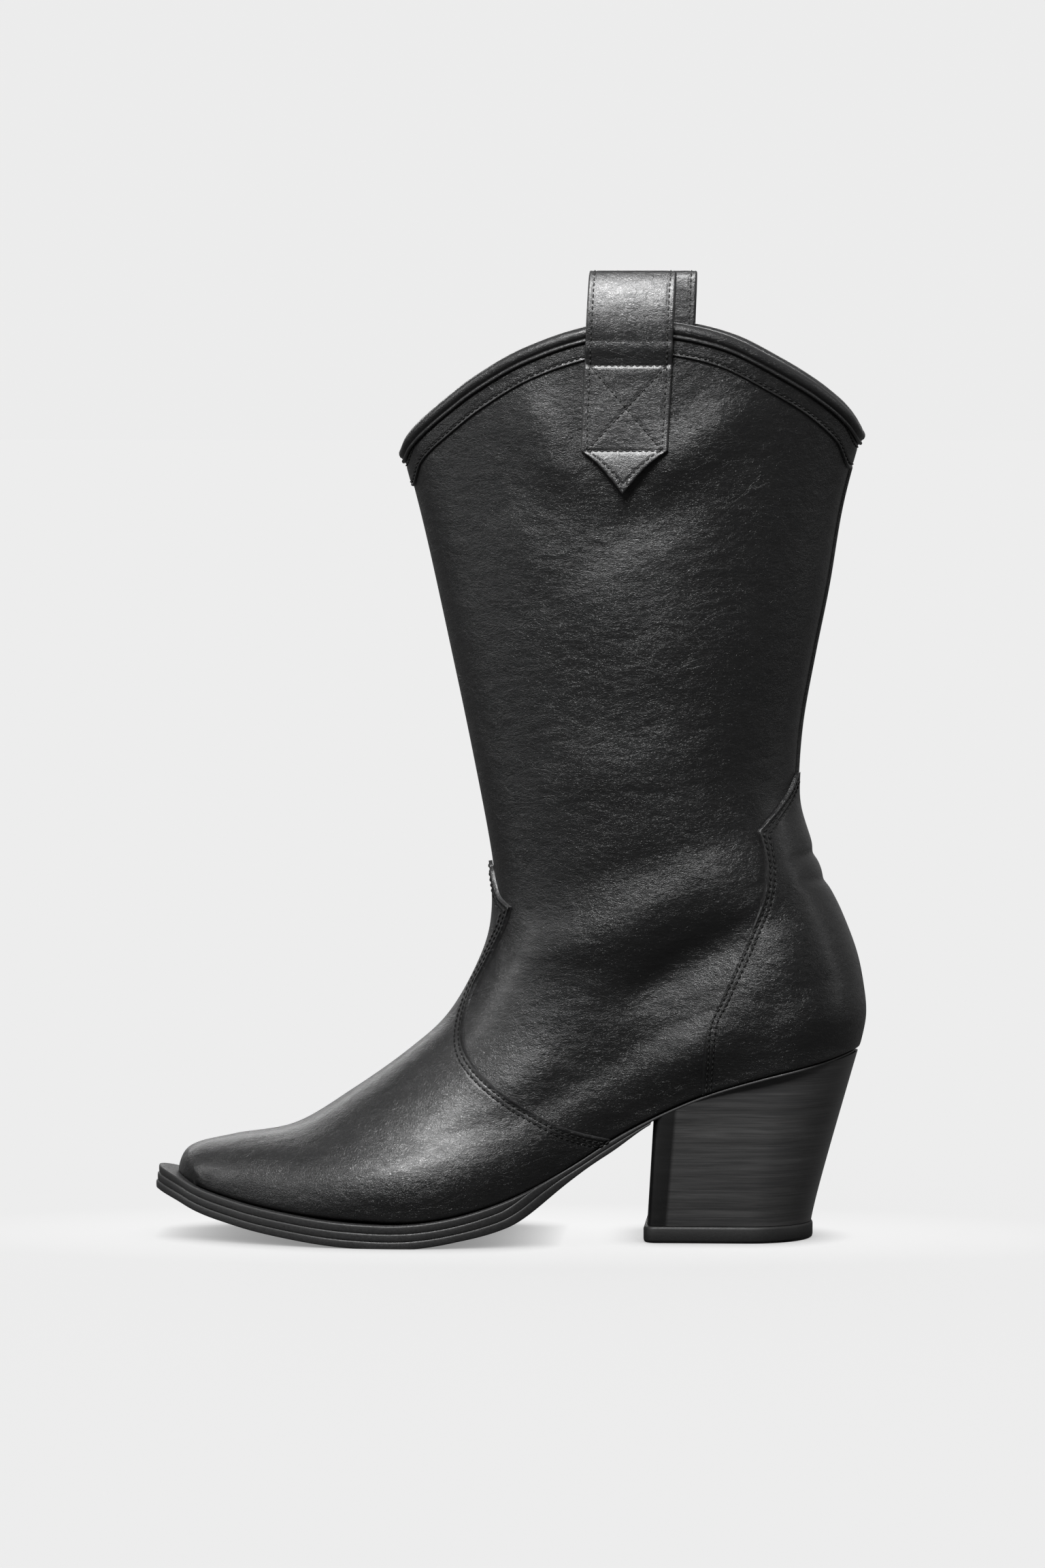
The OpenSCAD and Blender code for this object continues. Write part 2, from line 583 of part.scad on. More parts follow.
// ---- heel
// Outline of the heel at a share w of its height: breast at x0, round back at x1
function heel_outline(w, grow) =
    let (x0 = lerp(heel_low_front, heel_breast_x + 1, w) - grow)
    let (x1 = lerp(heel_low_back, heel_top_back, pow(w, 1.15)) + grow)
    let (half = lerp(heel_low_half, heel_top_half, w) + grow, deep = lerp(22, 26, w))
    let (side = [for (i = [0:heel_steps]) let (x = lerp(x0, x1, sin(90 * i / heel_steps)))
        [x, half * round_off((x1 - x) / deep) * lerp(0.93, 1, round_off((x - x0 + 0.5) / 8))]])
    concat([for (p = side) [p[0], -p[1]]], [for (i = [heel_steps - 1:-1:0]) side[i]]);
function heel_top(x) = sole_z(x) - mid_depth(x) - bottom_gap;
function heel_ring(w, grow) = [for (p = heel_outline(w, grow))
    [p[0] * kx, p[1], lerp(lift_t + skin_gap, heel_top(p[0]) * kz, w)]];
// Closed column of rings, the first and last capped
module ring_column(rings) {
    n = len(rings[0]);
    m = len(rings) - 1;
    polyhedron([for (r = rings) each r], concat(
        [[for (i = [0:n - 1]) i]], [for (i = [1:n - 2]) [m * n, m * n + i + 1, m * n + i]],
        [for (j = [0:m - 1]) for (i = [0:n - 1]) each
            let (a = j * n + i, b = j * n + (i + 1) % n, c = a + n, d = b + n)
            [[a, d, b], [a, c, d]]]), convexity = 6);
}
module heel_block() {
    color(STACK) ring_column([for (k = [0:heel_levels]) heel_ring(k / heel_levels, 0)]);
}
module heel_wrap() {
    inner = [for (k = [0:heel_levels]) heel_ring(k / heel_levels, skin_gap)];
    front = inner[0][0][0] - 0.01;
    outer = [for (k = [0:heel_levels]) let (r = heel_ring(k / heel_levels, skin_gap + heel_wrap_t))
        [for (i = [0:len(r) - 1]) [max(r[i][0], front), r[i][1], inner[k][i][2]]]];
    color(STACK) between(outer, inner);
}
module top_lift() {
    outline = heel_outline(0, heel_wrap_t + lift_ext);
    color(RUBBER) linear_extrude(height = lift_t) polygon([for (p = outline) [p[0] * kx, p[1]]]);
}
module heel_nails() {
    color(STEEL) for (p = nail_places)
        translate([p[0] * kx, p[1], (sole_z(p[0]) + nail_head_z) * kz - nail_length])
            cylinder(r = nail_r, h = nail_length);
}
module heel_screw() {
    top = (sole_z(screw_x) + nail_head_z) * kz;
    color(STEEL) translate([screw_x * kx, 0, top - screw_length]) cylinder(r = screw_r, h = screw_length);
}
module top_lift_pins() {
    color(STEEL) for (y = [-pin_y, pin_y])
        translate([pin_x * kx, y, pin_z]) cylinder(r = pin_r, h = pin_length);
}

vamp();
heel_counter_cover();
shaft_panel_lateral();
shaft_panel_medial();
top_band_lateral();
top_band_medial();
topline_binding();
back_seam_tape();
shaft_lining_lateral();
shaft_lining_medial();
vamp_lining();
toe_puff();
counter_stiffener();
lateral_strap_outer_tab();
lateral_strap_inner_tab();
lateral_strap_loop();
medial_strap_outer_tab();
medial_strap_inner_tab();
medial_strap_loop();
sock_liner();
heel_pad();
insole_board();
tuck_board();
steel_shank();
forepart_filler();
welt();
midsole();
outsole();
heel_block();
heel_wrap();
top_lift();
heel_nails();
heel_screw();
top_lift_pins();
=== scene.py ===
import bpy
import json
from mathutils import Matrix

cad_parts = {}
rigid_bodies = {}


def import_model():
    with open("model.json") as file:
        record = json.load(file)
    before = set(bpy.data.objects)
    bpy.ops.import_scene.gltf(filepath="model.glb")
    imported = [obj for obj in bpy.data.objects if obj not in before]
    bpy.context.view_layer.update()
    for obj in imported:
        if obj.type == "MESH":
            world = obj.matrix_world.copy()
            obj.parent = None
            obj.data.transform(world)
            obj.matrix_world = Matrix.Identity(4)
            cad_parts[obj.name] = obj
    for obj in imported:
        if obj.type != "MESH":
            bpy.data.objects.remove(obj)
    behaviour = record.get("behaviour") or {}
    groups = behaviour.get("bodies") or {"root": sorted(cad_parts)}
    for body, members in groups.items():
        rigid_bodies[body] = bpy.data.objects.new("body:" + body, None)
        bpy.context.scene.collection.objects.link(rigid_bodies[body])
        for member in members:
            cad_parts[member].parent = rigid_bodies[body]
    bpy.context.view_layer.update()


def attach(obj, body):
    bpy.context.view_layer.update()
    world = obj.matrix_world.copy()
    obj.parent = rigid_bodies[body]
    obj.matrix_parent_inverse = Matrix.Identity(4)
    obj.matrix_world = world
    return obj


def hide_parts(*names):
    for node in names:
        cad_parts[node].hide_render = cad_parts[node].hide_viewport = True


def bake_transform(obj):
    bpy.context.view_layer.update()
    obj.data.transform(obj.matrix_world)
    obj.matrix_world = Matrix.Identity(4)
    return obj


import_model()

import json
import math

import bmesh
import bpy
import numpy as np

# A black western boot. Lengths below are in millimetres in the row frame: -X toe, -Y outer side, +Z up.
# Every leather piece is cut from one skin, which is laid out in its own coordinates:
# p runs once round the boot (0 back seam, 1 front line, 2 back seam again), v from sole (0) to topline (1).
MM = 0.001
LATERAL, MEDIAL = -1, 1

# ------------------------------------------------------------------ side-view outlines, as in the CAD
FRONT_KNOTS = [(-117.2, 21.8), (-113.2, 30), (-98, 34.1), (-76, 38.3), (-55, 50.8), (-34.6, 65.4),
               (-20.5, 78.6), (-9.6, 98), (-5.2, 114), (-6.2, 134), (-13.2, 172), (-22, 214),
               (-30.4, 252), (-37.8, 280.4)]
BACK_KNOTS = [(123, 67.6), (125.3, 79), (124.4, 90), (121.8, 102), (116.4, 116), (110.2, 128.5),
              (105.4, 142), (102, 154), (101.9, 166), (103.6, 185), (107.8, 208), (112.6, 232),
              (117.3, 260), (124.5, 287)]
FEATHER_KNOTS = [(123, 67.6), (109, 63.6), (90, 58.8), (69, 52.2), (52, 44.6), (38, 37), (24, 28),
                 (8.4, 19.3), (-9, 12.8), (-30, 8.8), (-53, 9.2), (-75, 11.2), (-96, 14.8),
                 (-111, 18.9), (-117.2, 21.8)]
RIM_KNOTS = [(124.5, 287), (120, 294), (110, 302.6), (97, 310.6), (80, 319.3), (62, 323.9),
             (42.6, 325.2), (24, 321.7), (5, 314.7), (-12, 304.8), (-25, 294.8), (-34, 286.6),
             (-37.8, 280.4)]
# Both lines run on past the topline, so that the skin is defined up to its peak
FRONT_REACH = FRONT_KNOTS + [(-50, 325)]
BACK_REACH = BACK_KNOTS + [(136, 325)]
SPANS = len(FRONT_KNOTS) - 1
REACH_SHARE = SPANS / len(FRONT_KNOTS)
FRONT_DEPTH = [11, 12, 19, 29, 42, 55, 60, 60, 58, 56, 58, 66, 74, 81, 92]
BACK_DEPTH = [27, 27, 27, 28, 30, 34, 42, 50, 55, 57, 62, 68, 74, 81, 92]
LATERAL_HALF = [(-130, 10), (-118, 13), (-110, 17), (-103, 21), (-92, 27.5), (-80, 33), (-65, 38.5),
                (-48, 41.5), (-30, 42), (-12, 39), (5, 33.5), (20, 28.5), (35, 25.5), (52, 25),
                (70, 26.5), (90, 28), (130, 28)]
MEDIAL_HALF = [(-130, 10), (-118, 13), (-110, 17.5), (-103, 22), (-92, 29), (-80, 34.5), (-65, 38.5),
               (-48, 39.5), (-30, 37.5), (-12, 32.5), (5, 27), (20, 23), (35, 21.5), (52, 23),
               (70, 25.5), (90, 27.5), (130, 28)]
SHAFT_HALF = [(60, 32), (120, 32), (165, 34), (220, 38), (270, 39.7), (300, 40), (330, 40)]
SOLE_KNOTS = [(-125, 24.6), (-117.2, 21.6), (-111, 18.7), (-96, 14.4), (-75, 10.6), (-53, 8.3),
              (-32, 8.2), (-9, 12.5), (8.4, 19.1), (24, 27.8), (38, 36.8), (52, 44.4), (69, 52),
              (90, 58.6), (109, 63.4), (123.5, 67.4)]
# Cut edges in side view; each list is one smooth run, and runs meet at a corner
VAMP_EDGE = [[(37, 36.8), (20, 41.6), (2, 51.5), (-11, 62.5), (-15.2, 72), (-12.8, 86), (-7, 98),
              (-1, 110), (1.6, 118)],
             [(1.6, 118), (-2.6, 121.4), (-4.6, 127), (-6.0, 133.6)]]
COUNTER_EDGE = [[(69.1, 52.5), (69.5, 63), (72, 77.7), (77, 90), (85, 107.5), (90.4, 122), (91, 134),
                 (88.4, 145.6)],
                [(88.4, 145.6), (95, 153.5), (99, 159.4), (101.4, 165)]]
SHAFT_BACK_EDGE = [[(80, 55.8), (83, 78), (90, 100), (96, 122), (98.5, 145), (101.8, 165)]]
SHAFT_FRONT_EDGE = [[(28, 30.6), (10, 38.5), (-6, 50), (-16, 62), (-20, 78)]]
LINING_FRONT_EDGE = [[(25, 28.8), (15, 45), (11, 65), (9, 85), (6, 100), (-2, 112)]]
STIFFENER_EDGE = [[(81, 55.8), (84, 78), (91, 100), (97, 122), (99.4, 138), (100.6, 146)]]
PUFF_EDGE = [[(-72, 10.9), (-70, 20), (-69, 30), (-70.5, 38)]]
VAMP_LINING_EDGE = [[(24, 28), (14, 45), (10, 65), (8, 85), (5, 100), (-2, 110)]]

LEATHER_T, LINING_T, SKIN_GAP = 1.3, 1.0, 0.05
OUTER = (SKIN_GAP, SKIN_GAP + LEATHER_T)
MID = (-SKIN_GAP - LEATHER_T, -SKIN_GAP)
LINING = (MID[0] - SKIN_GAP - LINING_T, MID[0] - SKIN_GAP)
STIFFENER = (MID[0] + 0.15, MID[1] - 0.2)
BAND_H, BINDING_H, DROP_SCALE = 12.5, 3.2, 330.0
FOOT_TO_SHAFT, SEAT_BULGE, SEAT_BULGE_H = 95.0, 1.8, 30.0
FEATHER_REACH, RIM_START, TOE_DIP = 0.7, 0.45, 34.0


# ------------------------------------------------------------------ curves
def curve(knots, t):
    """Points of a smooth curve through evenly spaced knots, at shares t of its run."""
    k = np.asarray(knots, float)
    n = len(k) - 1
    q = np.clip(np.asarray(t, float), 0, 1) * n
    i = np.minimum(n - 1, np.floor(q).astype(int))
    u = q - i
    if k.ndim == 2:
        u = u[..., None]
    a, b, c, d = k[np.maximum(0, i - 1)], k[i], k[i + 1], k[np.minimum(n, i + 2)]
    return b + 0.5 * u * ((c - a) + u * (2 * a - 5 * b + 4 * c - d + u * (3 * (b - c) + d - a)))


def smooth_table(pairs):
    """Smooth function through (x, y) pairs with rising x, flat past its ends."""
    px, py = (np.array(c, float) for c in zip(*pairs))
    slope = np.gradient(py, px)

    def at(x):
        x = np.clip(np.asarray(x, float), px[0], px[-1])
        i = np.clip(np.searchsorted(px, x) - 1, 0, len(px) - 2)
        h = px[i + 1] - px[i]
        u = (x - px[i]) / h
        return ((1 + 2 * u) * (1 - u) ** 2 * py[i] + u * (1 - u) ** 2 * h * slope[i]
                + u * u * (3 - 2 * u) * py[i + 1] + u * u * (u - 1) * h * slope[i + 1])
    return at


def ease(t):
    u = np.clip(t, 0, 1)
    return u * u * (3 - 2 * u)


def lerp(a, b, t):
    return a + (b - a) * t


def bump(t):
    """1 at t = 0, falling smoothly to 0 at t = -1 and 1."""
    return np.clip(1 - np.asarray(t, float) ** 2, 0, 1) ** 2


def unit(v):
    return v / np.maximum(np.linalg.norm(v, axis=-1, keepdims=True), 1e-12)


def run_points(runs, per_run=40):
    """Dense points along an edge given as runs, its corners kept sharp."""
    parts = [curve(r, np.linspace(0, 1, per_run)) for r in runs]
    return np.vstack([parts[0]] + [p[1:] for p in parts[1:]])


def lengths(points):
    """Distance along a line at each of its points."""
    return np.concatenate([[0], np.cumsum(np.linalg.norm(np.diff(points, axis=0), axis=1))])


def read_line(at, s, points):
    """Points of a line at the distances at, from its points at the distances s."""
    return np.stack([np.interp(at, s, column) for column in points.T], 1)


def walk(points, step):
    """The same line with points every step along it."""
    s = lengths(points)
    return read_line(np.linspace(0, s[-1], max(2, int(round(s[-1] / step)) + 1)), s, points)


def nearest(points, line):
    """Distance of each point to a polyline, and the nearest place on it in segments from its start."""
    best, place = np.full(len(points), 1e9), np.zeros(len(points))
    for i in range(len(line) - 1):
        a, ab = line[i], line[i + 1] - line[i]
        t = np.clip(((points - a) @ ab) / (ab @ ab), 0, 1)
        d = np.linalg.norm(points - a - t[:, None] * ab, axis=1)
        near = d < best
        best, place = np.where(near, d, best), np.where(near, i + t, place)
    return best, place


foot_half = {LATERAL: smooth_table(LATERAL_HALF), MEDIAL: smooth_table(MEDIAL_HALF)}
shaft_half = smooth_table(SHAFT_HALF)
feather_z = smooth_table(FEATHER_KNOTS[::-1])
sole_z = smooth_table(SOLE_KNOTS)


# ------------------------------------------------------------------ the skin
def plain_side_at(u, v):
    """Side-view point: straight lines from back to front, bent down to the sole and up to the topline."""
    def bend(knots):
        ends = lerp(np.array(knots[0], float), np.array(knots[-1], float), u[..., None])
        return curve(knots, u) - ends
    low = np.clip(1 - v / FEATHER_REACH, 0, 1) ** 2
    high = np.clip((v - RIM_START) / (1 - RIM_START), 0, 1) ** 2
    point = (lerp(curve(BACK_REACH, v * REACH_SHARE), curve(FRONT_REACH, v * REACH_SHARE), u[..., None])
             + low[..., None] * bend(FEATHER_KNOTS) + high[..., None] * bend(RIM_KNOTS))
    # Over the toe the lines would run out past the flat front line, so they dip before they reach it
    point[..., 1] -= TOE_DIP * bump((v - 0.2) / 0.2) * u ** 6 * (1 - u)
    return point


def rim_rates(u, h=0.004):
    """How fast the skin runs away from the topline with v, square to the topline."""
    one = np.ones_like(u)
    down = (plain_side_at(u, one) - plain_side_at(u, one - h)) / h
    along = plain_side_at(np.minimum(1, u + h), one) - plain_side_at(np.maximum(0, u - h), one)
    return abs(down[:, 0] * along[:, 1] - down[:, 1] * along[:, 0]) / np.linalg.norm(along, axis=1)


RATE_U = np.linspace(0, 1, 201)
RIM_RATE = rim_rates(RATE_U)


def side_at(u, v):
    """The same with v spaced evenly under the topline, DROP_SCALE mm for 1, whatever the slope there."""
    even = DROP_SCALE / np.interp(u, RATE_U, RIM_RATE)
    return plain_side_at(u, 1 - (1 - v) * lerp(1, even, ease((v - 0.9) / 0.06)))


def skin_uv(points):
    """Skin coordinates (u, v) of side-view points, by Newton's method."""
    p = np.asarray(points, float)
    u, v, h = np.full(len(p), 0.5), np.full(len(p), 0.4), 1e-3
    for _ in range(30):
        q = side_at(u, v)
        d = p - q
        du = (side_at(u + h, v) - side_at(u - h, v)) / (2 * h)
        dv = (side_at(u, v + h) - side_at(u, v - h)) / (2 * h)
        det = du[:, 0] * dv[:, 1] - du[:, 1] * dv[:, 0]
        u = np.clip(u + (d[:, 0] * dv[:, 1] - d[:, 1] * dv[:, 0]) / det, 0.0015, 0.9985)
        v = np.clip(v + (du[:, 0] * d[:, 1] - du[:, 1] * d[:, 0]) / det, 0.0012, 0.9988)
    return u, v


def angle_share(u):
    return np.arccos(1 - 2 * u) / math.pi


def round_off(u):
    return np.sqrt(1 - (1 - np.clip(u, 0, 1)) ** 2)


def share_off(points, knots, depths, steps=90):
    """Distance of each point to a line, as a share of the line's depth at the nearest place."""
    at = nearest(points, curve(knots, np.linspace(0, 1, steps + 1)))[1] / steps
    h = 1e-4
    for _ in range(3):
        slope = (curve(knots, at + h) - curve(knots, at - h)) / (2 * h)
        at = np.clip(at + ((points - curve(knots, at)) * slope).sum(1) / (slope ** 2).sum(1), 0, 1)
    return np.linalg.norm(points - curve(knots, at), axis=1) / curve(depths, at)


def half_width(points, side):
    h = points[:, 1] - feather_z(points[:, 0])
    full = lerp(foot_half[side](points[:, 0]), shaft_half(points[:, 1]), ease(h / FOOT_TO_SHAFT))
    full = full + SEAT_BULGE * bump(2 * h / SEAT_BULGE_H - 1)
    return (full * round_off(share_off(points, FRONT_REACH, FRONT_DEPTH))
            * round_off(share_off(points, BACK_REACH, BACK_DEPTH)))


# Soft folds of the upper, the same on both sides: middle line in side view, height and half width
FOLDS = [
    ([(108, 122), (86, 112), (64, 99), (46, 88), (30, 80)], -3.0, 8),
    ([(108, 100), (92, 91), (74, 77), (58, 64), (44, 54)], 3.0, 10),
    ([(84, 134), (62, 122), (38, 110), (14, 104), (-2, 102)], 1.9, 9),
    ([(92, 148), (66, 140), (40, 131), (14, 124)], -1.2, 8),
    ([(90, 182), (60, 172), (30, 166), (6, 164)], 0.8, 10),
    ([(22, 70), (12, 62), (2, 56), (-8, 50)], 1.1, 8),
    ([(92, 302), (76, 288), (60, 276), (46, 268)], 2.6, 9),
    ([(4, 306), (12, 290), (20, 274), (32, 262)], 2.4, 9),
    ([(74, 270), (56, 258), (40, 252), (22, 248)], -1.7, 10),
    ([(30, 240), (36, 224), (46, 214)], 0.9, 11),
    ([(2, 262), (10, 244), (20, 232)], 0.8, 9),
    ([(80, 270), (84, 240), (80, 210)], -0.6, 12),
    ([(70, 228), (50, 208), (30, 198)], 0.7, 12),
    ([(122, 138), (108, 136.6), (97, 134.5)], -0.9, 2.6),
    ([(124, 125), (110, 127), (101, 128)], -0.7, 2.2),
]


def fold_height(points, steps=13, fade=0.4):
    """How far the leather stands off the plain skin at side-view points."""
    total = np.zeros(len(points))
    for line, height, width in FOLDS:
        off, place = nearest(points, curve(line, np.linspace(0, 1, steps + 1)))
        along = place / steps
        total += height * np.exp(-(off / width) ** 2) * ease(np.minimum(along, 1 - along) / fade)
    return total


class Skin:
    """The skin as a fine table over (p, v), read with smooth interpolation."""
    COLS, ROWS = 520, 430

    def __init__(self):
        p = np.arange(self.COLS) / self.COLS * 2
        v = np.linspace(0, 1, self.ROWS)
        a = np.where(p <= 1, p, 2 - p)
        side = np.where(p <= 1, LATERAL, MEDIAL)
        grid_u = np.broadcast_to((1 - np.cos(np.pi * a)) / 2, (self.ROWS, self.COLS))
        grid_v = np.broadcast_to(v[:, None], (self.ROWS, self.COLS))
        xz = side_at(grid_u, grid_v)
        y = np.zeros((self.ROWS, self.COLS))
        lift = np.zeros((self.ROWS, self.COLS))
        for s in (LATERAL, MEDIAL):
            cols = side == s
            flat = xz[:, cols].reshape(-1, 2)
            y[:, cols] = s * half_width(flat, s).reshape(self.ROWS, -1)
            lift[:, cols] = fold_height(flat).reshape(self.ROWS, -1)
        on_line = (a < 1e-9) | (a > 1 - 1e-9)
        y[:, on_line] = 0
        self.point = np.stack([xz[..., 0], y, xz[..., 1]], -1)
        self.normal = self._normals()
        self.point = self.point + self.normal * lift[..., None]
        self.normal = self._normals()

    def _normals(self):
        dp = np.roll(self.point, -1, 1) - np.roll(self.point, 1, 1)
        dv = np.gradient(self.point, axis=0)
        n = unit(np.cross(dp, dv))
        # The cross products face all out or all in; one place on the lateral side tells which
        test = self.ROWS // 2, self.COLS // 4
        return n * np.sign(n[test][1] * self.point[test][1])

    def _read(self, table, p, v):
        q = np.asarray(p, float) / 2 * self.COLS
        r = np.clip(np.asarray(v, float), 0, 1) * (self.ROWS - 1)
        i, j = np.floor(q).astype(int), np.minimum(np.floor(r).astype(int), self.ROWS - 2)
        fi, fj = q - i, r - j

        def weights(f):
            return (-0.5 * f + f * f - 0.5 * f ** 3, 1 - 2.5 * f * f + 1.5 * f ** 3,
                    0.5 * f + 2 * f * f - 1.5 * f ** 3, -0.5 * f * f + 0.5 * f ** 3)
        wi, wj = weights(fi), weights(fj)
        out = 0
        for b in range(4):
            row = np.clip(j + b - 1, 0, self.ROWS - 1)
            for a in range(4):
                out = out + (wi[a] * wj[b])[..., None] * table[row, (i + a - 1) % self.COLS]
        return out

    def at(self, p, v, off=0.0):
        """Point at (p, v), moved out of the boot by off."""
        return self._read(self.point, p, v) + unit(self._read(self.normal, p, v)) * np.asarray(off)[..., None]

    def out(self, p, v):
        return unit(self._read(self.normal, p, v))

    def p_of(self, u, side):
        return angle_share(u) if side == LATERAL else 2 - angle_share(u)

    def find(self, points, side):
        """(p, v) of side-view points on one side."""
        u, v = skin_uv(points)
        return self.p_of(u, side), v


# ------------------------------------------------------------------ meshes
def make_object(name, verts, faces):
    mesh = bpy.data.meshes.new(name)
    mesh.from_pydata((np.asarray(verts) * MM).tolist(), [], [tuple(f) for f in faces])
    mesh.validate()
    mesh.update()
    mesh.polygons.foreach_set("use_smooth", [True] * len(mesh.polygons))
    obj = bpy.data.objects.new(name, mesh)
    bpy.context.scene.collection.objects.link(obj)
    return obj


WELD, COLLAPSED = 0.004 * MM, 1e-7


def tidy_mesh(obj, sharp):
    """Welds doubled points, drops what collapses, faces the mesh outwards and keeps angles over sharp."""
    bm = bmesh.new()
    bm.from_mesh(obj.data)
    bmesh.ops.remove_doubles(bm, verts=bm.verts, dist=WELD)
    bmesh.ops.dissolve_degenerate(bm, edges=bm.edges, dist=COLLAPSED)
    bmesh.ops.recalc_face_normals(bm, faces=bm.faces)
    bm.to_mesh(obj.data)
    bm.free()
    obj.data.set_sharp_from_angle(angle=math.radians(sharp))
    return obj


def grid_faces(rows, cols, start=0, closed=False):
    i, j = np.meshgrid(np.arange(cols if closed else cols - 1), np.arange(rows - 1))
    a = start + j * cols + i
    b = start + j * cols + (i + 1) % cols
    return np.stack([a, b, b + cols, a + cols], -1).reshape(-1, 4)


def shell_object(name, outer, inner):
    """Closed sheet between two grids of points of the same size."""
    rows, cols = outer.shape[:2]
    n = rows * cols
    verts = np.vstack([outer.reshape(-1, 3), inner.reshape(-1, 3)])
    faces = [grid_faces(rows, cols), grid_faces(rows, cols, n)[:, ::-1]]
    grid = np.arange(n).reshape(rows, cols)
    border = np.concatenate([grid[0], grid[1:, -1], grid[-1, -2::-1], grid[-2:0:-1, 0]])
    nxt = np.roll(border, -1)
    faces.append(np.stack([border, border + n, nxt + n, nxt], -1))
    return tidy_mesh(make_object(name, verts, np.vstack(faces)), 60)


def end_caps(count, k):
    """The two end faces of count rings of k points."""
    return [tuple(range(k - 1, -1, -1)), tuple(range((count - 1) * k, count * k))]


def tube_object(name, rings, closed=True):
    """Sweep through rings of points; closed joins the last ring to the first, open has end faces."""
    rings = np.asarray(rings)
    count, k = rings.shape[:2]
    faces = [tuple(f) for f in grid_faces(count + closed, k, closed=True) % (count * k)]
    if not closed:
        faces += end_caps(count, k)
    return tidy_mesh(make_object(name, rings.reshape(-1, 3), faces), 50)


# ------------------------------------------------------------------ laying pieces on the skin
def edge_at(runs):
    """An edge as a function of v, its share round one side, and the v where it ends."""
    u, v = skin_uv(run_points(runs))
    u = np.where(u < 0.003, 0, np.where(u > 0.997, 1, u))
    order = np.argsort(v)
    v, share = v[order], angle_share(u)[order]
    return (lambda q: np.interp(q, v, share)), v[-1]


def edge_rows(runs, top, count):
    """Row heights from the sole to top, with a row at each corner of the edge."""
    rows = np.linspace(0, top, count)
    for run in runs[1:]:
        corner = skin_uv(np.array([run[0]]))[1][0]
        rows[np.argmin(abs(rows - corner))] = corner
    return rows


FINE_STEP, FINE_STEPS = 0.36, 13


def graded(length, count):
    """Shares 0..1 of a row of this length, with narrow steps at its cut ends."""
    if length < 0.01:
        return np.linspace(0, 1, count + 1)
    reach = min(FINE_STEP * FINE_STEPS, 0.3 * length)
    head = np.linspace(0, reach, FINE_STEPS + 1)
    middle = np.linspace(reach, length - reach, count - 2 * FINE_STEPS + 1)[1:-1]
    return np.concatenate([head, middle, length - head[::-1]]) / length


def row_length(p0, p1, v):
    return lengths(skin.at(np.linspace(p0, p1, 24), np.full(24, v)))[-1]


EDGE_ROUND, LIP_H, LIP_HALF = 0.5, 0.14, 0.35
STITCH_ROWS, STITCH_DIP, STITCH_HALF = (1.7, 3.4), 0.22, 0.42
WELT_TUCK, WELT_TUCK_H = 1.5, 1.6


def cut_edge(dist, thick):
    """Height of a cut leather edge above the layer under it, at a distance in from the edge."""
    rounded = thick * round_off(dist / EDGE_ROUND)
    return rounded + LIP_H * np.exp(-((dist - EDGE_ROUND) / LIP_HALF) ** 2)


def stitch_dip(dist, rows=STITCH_ROWS):
    return -STITCH_DIP * sum(np.exp(-((dist - r) / STITCH_HALF) ** 2) for r in rows)


def tuck(v):
    """The upper curls in where it meets the welt."""
    return -WELT_TUCK * np.exp(-v * DROP_SCALE / WELT_TUCK_H)


def edge_points(runs, side):
    """The edge as points on the skin, with its corners kept."""
    line = run_points(runs)
    p, v = skin.find(line, side)
    return skin.at(p, v)


def skin_piece(name, rows_v, left, right, layer, cols, cut_runs=None, fine_ends=True, profile=None):
    """A sheet of the skin between p = left(v) and right(v). cut_runs is its cut edge, on both sides."""
    p = []
    for v in rows_v:
        p0, p1 = left(v), right(v)
        share = graded(row_length(p0, p1, v), cols) if fine_ends else np.linspace(0, 1, cols + 1)
        p.append(lerp(p0, p1, share))
    p = np.array(p)
    v = np.broadcast_to(np.asarray(rows_v)[:, None], p.shape)
    top = np.full(p.shape, float(layer[1]))
    if cut_runs is not None:
        flat = skin.at(p, v).reshape(-1, 3)
        to_edge = np.full(len(flat), 1e9)
        for side in (LATERAL, MEDIAL):
            line = edge_points(cut_runs, side)
            near = np.linalg.norm(flat[:, None, :] - line[None, ::8, :], axis=2).min(1) < 16
            to_edge[near] = np.minimum(to_edge[near], nearest(flat[near], line)[0])
        to_edge = to_edge.reshape(p.shape)
        top = layer[0] + cut_edge(to_edge, layer[1] - layer[0]) + stitch_dip(to_edge)
        top[:, [0, -1]] = layer[0] - 0.05
    if profile is not None:
        top = top + profile(p)
    curl = tuck(v)
    return shell_object(name, skin.at(p, v, top + curl), skin.at(p, v, layer[0] - 0.03 + curl))


skin = Skin()

# ------------------------------------------------------------------ the upper
def below_topline(drop):
    return 1 - drop / DROP_SCALE


vamp_at, vamp_end = edge_at(VAMP_EDGE)
counter_at, counter_end = edge_at(COUNTER_EDGE)
shaft_back_at, shaft_front_at = edge_at(SHAFT_BACK_EDGE)[0], edge_at(SHAFT_FRONT_EDGE)[0]
lining_front_at = edge_at(LINING_FRONT_EDGE)[0]
BACK_CUT_END, FRONT_CUT_END, LINING_CUT_END = 8.2 / SPANS, 6.3 / SPANS, 7.6 / SPANS
PUFF_END, CUP_END, VAMP_LINING_END, TAPE_START = 2.9 / SPANS, 6.2 / SPANS, 7.5 / SPANS, 7.75 / SPANS
SIDE_NAME = {LATERAL: "lateral", MEDIAL: "medial"}


def settle(obj, slot, *nodes, body="boot"):
    """Every piece rides on a body and may stand for CAD nodes; slot is not used."""
    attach(obj, body)
    if nodes:
        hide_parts(*nodes)
    return obj


